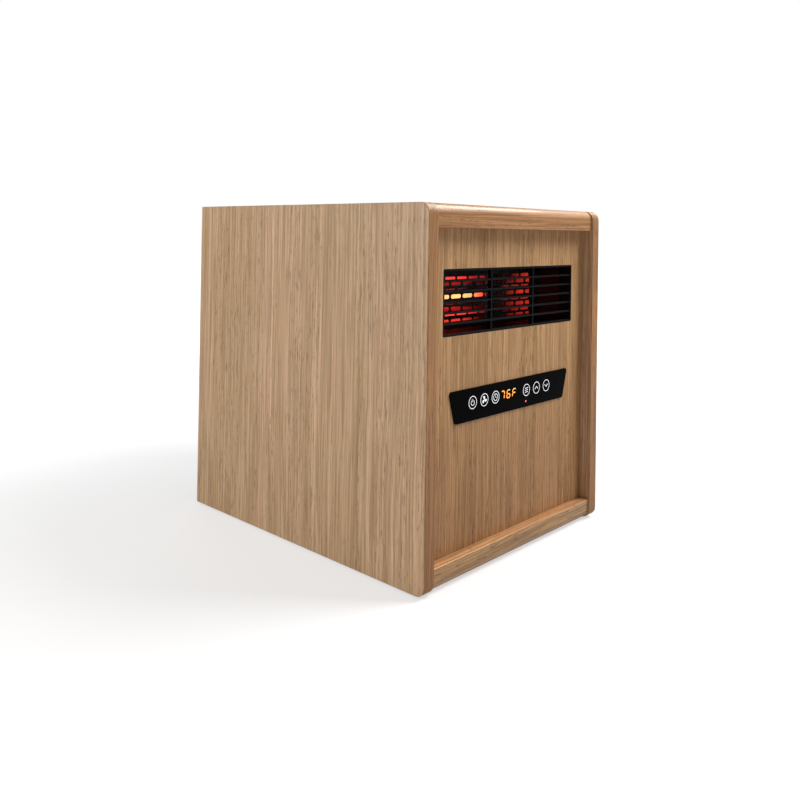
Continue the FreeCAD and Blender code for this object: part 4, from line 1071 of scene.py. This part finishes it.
@dataclass
class Blower(Assembly):
    """The crossflow blower: scroll, end plates, rotor, shaft, bearings and motor."""

    looks = {
        Metal("scroll_galvanised", tone(168, 170, 172), tone(120, 122, 124), 0.36, 1.0, 0.7):
            ("blower_housing", "blower_end_left", "blower_end_right"),
        Metal("rotor_aluminium", tone(188, 190, 192), tone(140, 140, 142), 0.3): ("blower_rotor",),
        Metal("ground_steel", tone(190, 190, 192), tone(150, 148, 144), 0.18, 1.0, 0.3, 0.3, 0.0):
            ("rotor_shaft", "shaft_bearings"),
        Metal("motor_laminations", tone(92, 94, 98), tone(64, 60, 56), 0.4, 0.9, 0.7, 0.5): ("blower_motor",),
    }


class Symbol(Enum):
    """What a touch key's ring holds."""

    POWER = "power"
    FAN = "fan"
    TIMER = "timer"
    HEAT = "heat"
    UP = "up"
    DOWN = "down"


@dataclass
class ControlPrint(Assembly):
    """The symbols printed behind the control glass, and the lit reading.

    Lengths within a symbol are given as shares of the ring's radius.
    """

    places: tuple[float, ...] = (-0.0903, -0.0655, -0.0408, 0.0318, 0.0568, 0.0820)
    symbols: tuple[Symbol, ...] = tuple(Symbol)
    height: float = 0.2152
    ring: float = 0.0080
    stroke: float = 0.0008
    ink: float = 0.00006
    digit_left: float = -0.0286
    digit_base: float = 0.2106
    digit_width: float = 0.0070
    digit_tall: float = 0.0102
    digit_pitch: float = 0.0132
    digit_line: float = 0.0014
    slant: float = 0.12
    white: Print = Print("white_print")
    amber: Print = Print("amber_segments", (1.0, 0.33, 0.05, 1.0), 1.7)

    def strokes(self, symbol: Symbol) -> list[Stroke]:
        """The lines of one symbol about its own middle, for a ring of radius one.

        Args:
            symbol: which symbol it is.

        Returns:
            Its strokes. The ring itself is left out.
        """
        thin = self.stroke / self.ring
        if symbol is Symbol.POWER:
            bar = [[0, 0.06], [0, 0.3], [0, 0.55]]
            return [Stroke(arc((0, -0.04), 0.42, 125, 415, 40), thin), Stroke(bar, thin)]
        if symbol is Symbol.FAN:
            share = np.linspace(0, 1, 22)
            wide = 0.05 + 0.40 * np.sin(np.pi * share) ** 0.8
            blades = []
            for turn in (100, 220, 340):
                bend = np.radians(turn + 42 * (share - 0.5))
                reach = 0.14 + 0.48 * share
                blades.append(Stroke(np.column_stack([reach * np.cos(bend), reach * np.sin(bend)]), wide))
            return [*blades, Stroke.ring((0, 0), 0.09, 0.1, 12)]
        if symbol is Symbol.TIMER:
            hands = [[0, 0.36], [0, 0.0], [0.24, -0.14]]
            return [Stroke.ring((0, 0), 0.56, thin, 36), Stroke(hands, thin * 0.9)]
        if symbol is Symbol.HEAT:
            along = np.linspace(-0.46, 0.46, 24)
            sway = 0.07 * np.sin(along * 2 * np.pi * 1.25)
            return [Stroke(np.column_stack([along, middle + sway]), thin) for middle in (-0.34, 0.0, 0.34)]
        sign = 1 if symbol is Symbol.UP else -1
        chevron = np.array([[-0.46, -0.22], [-0.23, 0.0], [0, 0.22], [0.23, 0.0], [0.46, -0.22]]) * (1, sign)
        return [Stroke(chevron, thin * 1.35)]

    def digits(self, reading: str) -> list[Stroke]:
        """The lit segments of a reading.

        Each segment is a bar with pointed ends from one corner of the digit's box to the next, drawn in and
        leaned over by the slant.

        Args:
            reading: the characters, of which each has seven places for a segment.

        Returns:
            The lit segments as strokes.
        """
        ends = np.array([[[0, 1], [1, 1]], [[1, 1], [1, 0.5]], [[1, 0.5], [1, 0]], [[0, 0], [1, 0]],
                         [[0, 0.5], [0, 0]], [[0, 1], [0, 0.5]], [[0, 0.5], [1, 0.5]]], float)
        lit = {"7": (0, 1, 2), "6": (0, 2, 3, 4, 5, 6), "F": (0, 4, 5, 6)}
        share = np.array([0.07, 0.16, 0.84, 0.93])[:, None]
        wide = np.array([0.15, 1.0, 1.0, 0.15]) * self.digit_line
        bars = []
        for number, mark in enumerate(reading):
            corner = np.array([self.digit_left + number * self.digit_pitch, self.digit_base])
            for first, last in ends[list(lit[mark])]:
                spot = (first + (last - first) * share) * (self.digit_width, self.digit_tall)
                spot[:, 0] += spot[:, 1] * self.slant
                bars.append(Stroke(spot + corner, wide))
        return bars

    def details(self) -> None:
        """Prints the symbols, and lights the reading, on the control glass."""
        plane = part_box("control_glass")[0][1]
        shape = Shape()
        for place, symbol in zip(self.places, self.symbols):
            middle = np.array([place, self.height])
            shape.ink(Stroke.ring((place, self.height), self.ring, self.stroke, 60), plane, self.ink)
            for part in self.strokes(symbol):
                line = np.asarray(part.line, float) * self.ring + middle
                shape.ink(Stroke(line, np.asarray(part.width) * self.ring, part.looped), plane, self.ink)
        shape.piece("key_symbols", "cabinet", "control_glass", self.white, smooth=False)
        reading = Shape()
        for part in self.digits("76F"):
            reading.ink(part, plane, self.ink)
        reading.piece("display_segments", "cabinet", "display_plastic", self.amber, smooth=False)


@dataclass
class Controls(Assembly):
    """The control glass with its tray, board, display, touch springs and lamp."""

    spring_radius: float = 0.0034
    spring_wire: float = 0.00035
    spring_gap: float = 0.0006
    spring_turns: int = 7
    window_radius: float = 0.0007
    window_line: float = 0.0013
    ink: float = 0.00006
    lamp: Plastic = Plastic("lamp_red_lens", tone(170, 20, 14), tone(220, 60, 50), 900.0, 0.00001, 0.15, 0.0,
                            0.0, 0.4, (1.0, 0.16, 0.16, 1.0), 1.5)
    spring: Metal = Metal("spring_wire", tone(206, 200, 186), tone(160, 150, 130), 0.22, 1.0, 0.2, 0.2, 0.0)
    looks = {
        BlackGlass("panel_glass"): ("control_glass",),
        Plastic("tray_black", tone(26, 26, 27)): ("control_tray",),
        Circuit("circuit_green"): ("control_board", "power_board"),
        Plastic("display_smoke", tone(30, 22, 18), tone(60, 50, 44), 1500.0, 0.00002, 0.2, 0.1, 0.0):
            ("display_block",),
        lamp: ("status_lamp",),
    }

    def details(self) -> None:
        """Winds a spring behind each touch key and fills the lamp's window."""
        low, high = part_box("touch_contacts")
        shape = Shape()
        for place in ControlPrint().places:
            centre = (place, 0.0, (low[2] + high[2]) / 2)
            shape.strands(coil(centre, self.spring_radius, self.spring_wire, low[1] + self.spring_gap,
                               high[1] - self.spring_gap, self.spring_turns, 1))
        springs = shape.piece("touch_spring_coils", "cabinet", "contact_metal", self.spring)
        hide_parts("touch_contacts")
        spot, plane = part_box("status_lamp"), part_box("control_glass")[0][1]
        middle = (spot[0] + spot[1]) / 2
        window = Stroke.ring((middle[0], middle[2]), self.window_radius, self.window_line, 12)
        lens = Shape().ink(window, plane, self.ink)
        lens.piece("lamp_window", "cabinet", "lamp_red", self.lamp, smooth=False)


@dataclass
class FilterCloth(Assembly):
    """The woven filter cloth: upright and level yarns that pass over and under each other."""

    pitch: float = 0.0030
    yarn: float = 0.00034
    lift: float = 0.00030
    yarn_sides: int = 4
    finish: Cloth = Cloth("filter_yarn")

    def yarns(self, low: Vector, high: Vector, run: int) -> np.ndarray:
        """All the yarns that run one way.

        Each yarn's middle is a straight line moved along Y by lift times a cosine of one turn for every two
        pitches. Neighbours are half a turn apart, and so are the two directions.

        Args:
            low: the cloth's lowest corner.
            high: its highest corner.
            run: the axis that they run along, 0 or 2.

        Returns:
            The strands' rings.
        """
        side = 2 - run
        count = int((high[side] - low[side]) / self.pitch)
        crossings = int((high[run] - low[run]) / self.pitch)
        number = np.arange(count)
        step = np.arange(crossings * 2 + 1)
        margin = (high[side] - low[side] - (count - 1) * self.pitch) / 2
        path = np.zeros((count, step.size, 3))
        path[:, :, run] = low[run] + (high[run] - low[run]) * step / step[-1]
        path[:, :, side] = (low[side] + margin + number * self.pitch)[:, None]
        phase = np.pi * (number[:, None] + (0 if run == 0 else 1)) + np.pi * (step / 2 - 0.5)
        path[:, :, 1] = (low[1] + high[1]) / 2 + self.lift * np.cos(phase)
        outline = round_outline(self.yarn, self.yarn_sides)
        return carried(path, (X_AXIS, Y_AXIS, Z_AXIS)[side], Y_AXIS, outline)

    def details(self) -> None:
        """Weaves the cloth in the filter's frame."""
        low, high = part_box("filter_mesh")
        shape = Shape().strands(self.yarns(low, high, 0)).strands(self.yarns(low, high, 2))
        cloth = shape.piece("filter_cloth_weave", "filter", "filter_cloth", self.finish)
        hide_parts("filter_mesh")


@dataclass
class Rear(Assembly):
    """The intake grille, filter frame and guide, mains switch and cord gland on the back."""

    mark_size: float = 0.0021
    mark_line: float = 0.0006
    mark_ink: float = 0.00005
    upper_middle: tuple[float, float, float] = (0.1300, 0.23015, 0.0863)
    lower_middle: tuple[float, float, float] = (0.1300, 0.23166, 0.0756)
    upper_lean: float = math.radians(2.48)
    lower_lean: float = math.radians(13.52)
    looks = {
        Plastic("intake_black", tone(22, 22, 23), tone(70, 70, 72), 1300.0, 0.00006, 0.45, 0.3, 0.3):
            ("intake_grille", "filter_guide"),
        Plastic("filter_grey", tone(52, 53, 56), tone(104, 104, 106), 1300.0, 0.00006, 0.5, 0.3, 0.3):
            ("filter_frame",),
        Plastic("switch_black", tone(16, 16, 17), tone(58, 58, 60), 1700.0, 0.00003, 0.28, 0.2, 0.15):
            ("rocker_button", "rocker_housing"),
        Plastic("gland_black", tone(26, 26, 27), tone(66, 66, 68), 1400.0, 0.00006, 0.5, 0.3, 0.2):
            ("cord_gland",),
    }

    def on_rocker(self, mark: Stroke, middle: tuple[float, float, float], lean: float) -> np.ndarray:
        """Lays a stroke on one face of the rocker.

        The face's outward normal is +Y leaned towards +Z by the lean, and its upward direction is square to
        that. Each corner is the face's middle plus its X, plus its Z times the upward direction, plus its
        height in ink times the normal.

        Args:
            mark: the stroke, about its own middle.
            middle: the middle of the face.
            lean: how far the face looks up, in radians.

        Returns:
            One strand's rings.
        """
        flat = mark.rings(0.0, self.mark_ink)
        normal = np.array([0.0, math.cos(lean), math.sin(lean)])
        upward = np.array([0.0, -math.sin(lean), math.cos(lean)])
        sideways = flat[..., :1] * X_AXIS
        return np.array(middle) + sideways + flat[..., 2:] * upward - flat[..., 1:2] * normal

    def details(self) -> None:
        """Prints a line and a ring on the rocker."""
        line = Stroke([[0, -self.mark_size], [0, 0], [0, self.mark_size]], self.mark_line)
        ring = Stroke.ring((0, 0), self.mark_size, self.mark_line, 36)
        marks = Shape().strands(self.on_rocker(line, self.upper_middle, self.upper_lean))
        marks.strands(self.on_rocker(ring, self.lower_middle, self.lower_lean), True)
        white = Print("white_mark", tone(226, 226, 222), 0.0)
        marks.piece("rocker_marks", "rocker", "switch_plastic", white, smooth=False)


@dataclass
class Power(Assembly):
    """The power board's parts and the wire looms."""

    looks = {
        Plastic("relay_blue", tone(30, 62, 120), tone(80, 110, 160), 1300.0, 0.00003, 0.3, 0.2, 0.3):
            ("board_relays",),
        Metal("transformer_steel", tone(112, 104, 96), tone(74, 62, 52), 0.4, 0.8, 0.7, 0.4, 0.4):
            ("board_transformer",),
        Metal("sink_black_aluminium", tone(52, 53, 56), tone(36, 36, 38), 0.4, 0.8, 0.4, 0.5, 0.4):
            ("heat_sink",),
        Plastic("terminal_white", tone(214, 210, 196), tone(236, 232, 222), 900.0, 0.00004, 0.45, 0.2, 0.4):
            ("terminal_block",),
        Plastic("post_nylon", tone(220, 216, 204), tone(236, 232, 224), 900.0, 0.00003, 0.5, 0.1, 0.3):
            ("board_standoffs",),
        Plastic("loom_sleeve", tone(38, 38, 40), tone(80, 80, 82), 1100.0, 0.00006, 0.5, 0.1, 0.3):
            ("control_loom", "heater_loom"),
    }


@dataclass
class TipSwitch(Assembly):
    """The tip-over switch: a frame, a hanging weight on its pin and a small switch."""

    looks = {
        Metal("tip_zinc", tone(176, 176, 172), tone(130, 128, 120), 0.34):
            ("tip_switch_frame", "tip_switch_pin", "tip_switch_weight"),
        Plastic("micro_black", tone(24, 24, 25)): ("tip_microswitch",),
    }


# ----------------------------------------------------------------------------------------------- the studio
@dataclass
class SoftBox:
    """A square area light aimed at a point."""

    name: str
    place: tuple[float, float, float]
    size: float
    power: float
    aim: tuple[float, float, float] = (0.0, 0.0, 0.25)

    def build(self) -> None:
        """Hangs the light."""
        lamp = bpy.data.lights.new(self.name, "AREA")
        lamp.size, lamp.energy = self.size, self.power
        made = bpy.data.objects.new(self.name, lamp)
        made.location = self.place
        made.rotation_mode = "QUATERNION"
        made.rotation_quaternion = (Vector(self.aim) - Vector(self.place)).to_track_quat("-Z", "Y")
        bpy.context.scene.collection.objects.link(made)


@dataclass(frozen=True)
class Floor(Finish):
    """Pale painted floor."""

    def dress(self, graph: Graph, place: Socket) -> Feeds:
        """Pale with a faint mottle, and lifted to white where it is seen, most of all far away.

        Args:
            graph: the material's graph.
            place: the point to shade, in the piece's own coordinates.

        Returns:
            What feeds each input of the shader, by name.
        """
        soft = graph.noise(place, 3.0, detail=4.0)
        far = graph.add("ShaderNodeVectorMath", {0: place}, operation="LENGTH").outputs["Value"]
        lit = graph.mix(graph.ramp(far, 0.4, 2.2), grey(0.56), grey(1.0))
        seen = graph.add("ShaderNodeLightPath").outputs["Is Camera Ray"]
        return {"Base Color": graph.mix(soft, grey(0.48), grey(0.5)),
                "Emission Color": graph.mix(seen, grey(0.1), lit),
                "Emission Strength": 1.0,
                "Roughness": 0.7,
                "Specular IOR Level": 0.2}


@dataclass
class Studio:
    """A pale floor, soft light all round, four soft boxes and the camera."""

    eye: tuple[float, float, float] = (-0.9027, -0.8522, 0.4310)
    yaw: float = math.radians(46.83)
    pitch: float = math.radians(0.68)
    roll: float = math.radians(0.86)
    lens: float = 35.56
    rise: float = -0.219
    sensor: float = 36.0
    near: float = 0.05
    far: float = 60.0
    room_light: float = 0.27
    floor_reach: float = 14.0
    lamps: tuple[SoftBox, ...] = (SoftBox("key_softbox", (-2.2, 0.8, 0.95), 1.4, 28.0),
                                  SoftBox("front_softbox", (1.0, -1.05, 1.95), 0.9, 43.0),
                                  SoftBox("rear_softbox", (0.9, 1.9, 1.4), 1.6, 6.0),
                                  SoftBox("rail_softbox", (1.7, -0.25, 2.0), 0.8, 14.0, (0.0, -0.237, 0.46)))

    def build(self) -> None:
        """Makes the floor, the world, the lights and the camera."""
        self.floor()
        self.world()
        for lamp in self.lamps:
            lamp.build()
        self.camera()
        view = bpy.context.scene.view_settings
        view.view_transform, view.look = "Standard", "None"

    def floor(self) -> None:
        """A wide pale floor with a faint mottle."""
        mesh = bpy.data.meshes.new("studio_floor")
        turns = ((-1, -1), (1, -1), (1, 1), (-1, 1))
        corners = [(across * self.floor_reach, along * self.floor_reach, 0) for across, along in turns]
        mesh.from_pydata(corners, [], [(0, 1, 2, 3)])
        mesh.materials.append(Floor("floor_pale").material())
        floor = bpy.data.objects.new("studio_floor", mesh)
        bpy.context.scene.collection.objects.link(floor)

    def world(self) -> None:
        """Even soft white light from all round, with a plain white backdrop behind it."""
        world = bpy.data.worlds.new("studio_light")
        bpy.context.scene.world = world
        world.use_nodes = True
        graph = Graph(world.node_tree)
        world.node_tree.nodes.clear()
        seen = graph.add("ShaderNodeLightPath").outputs["Is Camera Ray"]
        level = graph.ramp(seen, 0.0, 1.0, self.room_light, 1.0)
        light = graph.add("ShaderNodeBackground", {"Color": grey(1.0), "Strength": level})
        graph.add("ShaderNodeOutputWorld", {"Surface": light.outputs[0]})

    def camera(self) -> None:
        """Sets the camera by its yaw from +Y towards +X, its pitch and its roll."""
        ahead = Vector((math.sin(self.yaw) * math.cos(self.pitch), math.cos(self.yaw) * math.cos(self.pitch),
                        math.sin(self.pitch)))
        right = Vector((math.cos(self.yaw), -math.sin(self.yaw), 0.0))
        up = right.cross(ahead)
        side = right * math.cos(self.roll) + up * math.sin(self.roll)
        top = up * math.cos(self.roll) - right * math.sin(self.roll)
        data = bpy.data.cameras.new("front_left_camera")
        data.lens, data.sensor_width, data.shift_y = self.lens, self.sensor, self.rise
        data.clip_start, data.clip_end = self.near, self.far
        made = bpy.data.objects.new("front_left_camera", data)
        turn = Matrix((side, top, -ahead)).transposed().to_4x4()
        made.matrix_world = Matrix.Translation(self.eye) @ turn
        bpy.context.scene.collection.objects.link(made)
        bpy.context.scene.camera = made


def main() -> None:
    """Builds the studio and every sub-assembly in order."""
    for part in (Studio(), Cabinet(), Outlet(), Heater(), Blower(), Controls(), ControlPrint(), FilterCloth(),
                 Rear(), Power(), TipSwitch()):
        part.build()
        log.info("built %s", type(part).__name__)


if __name__ == "__main__":
    main()
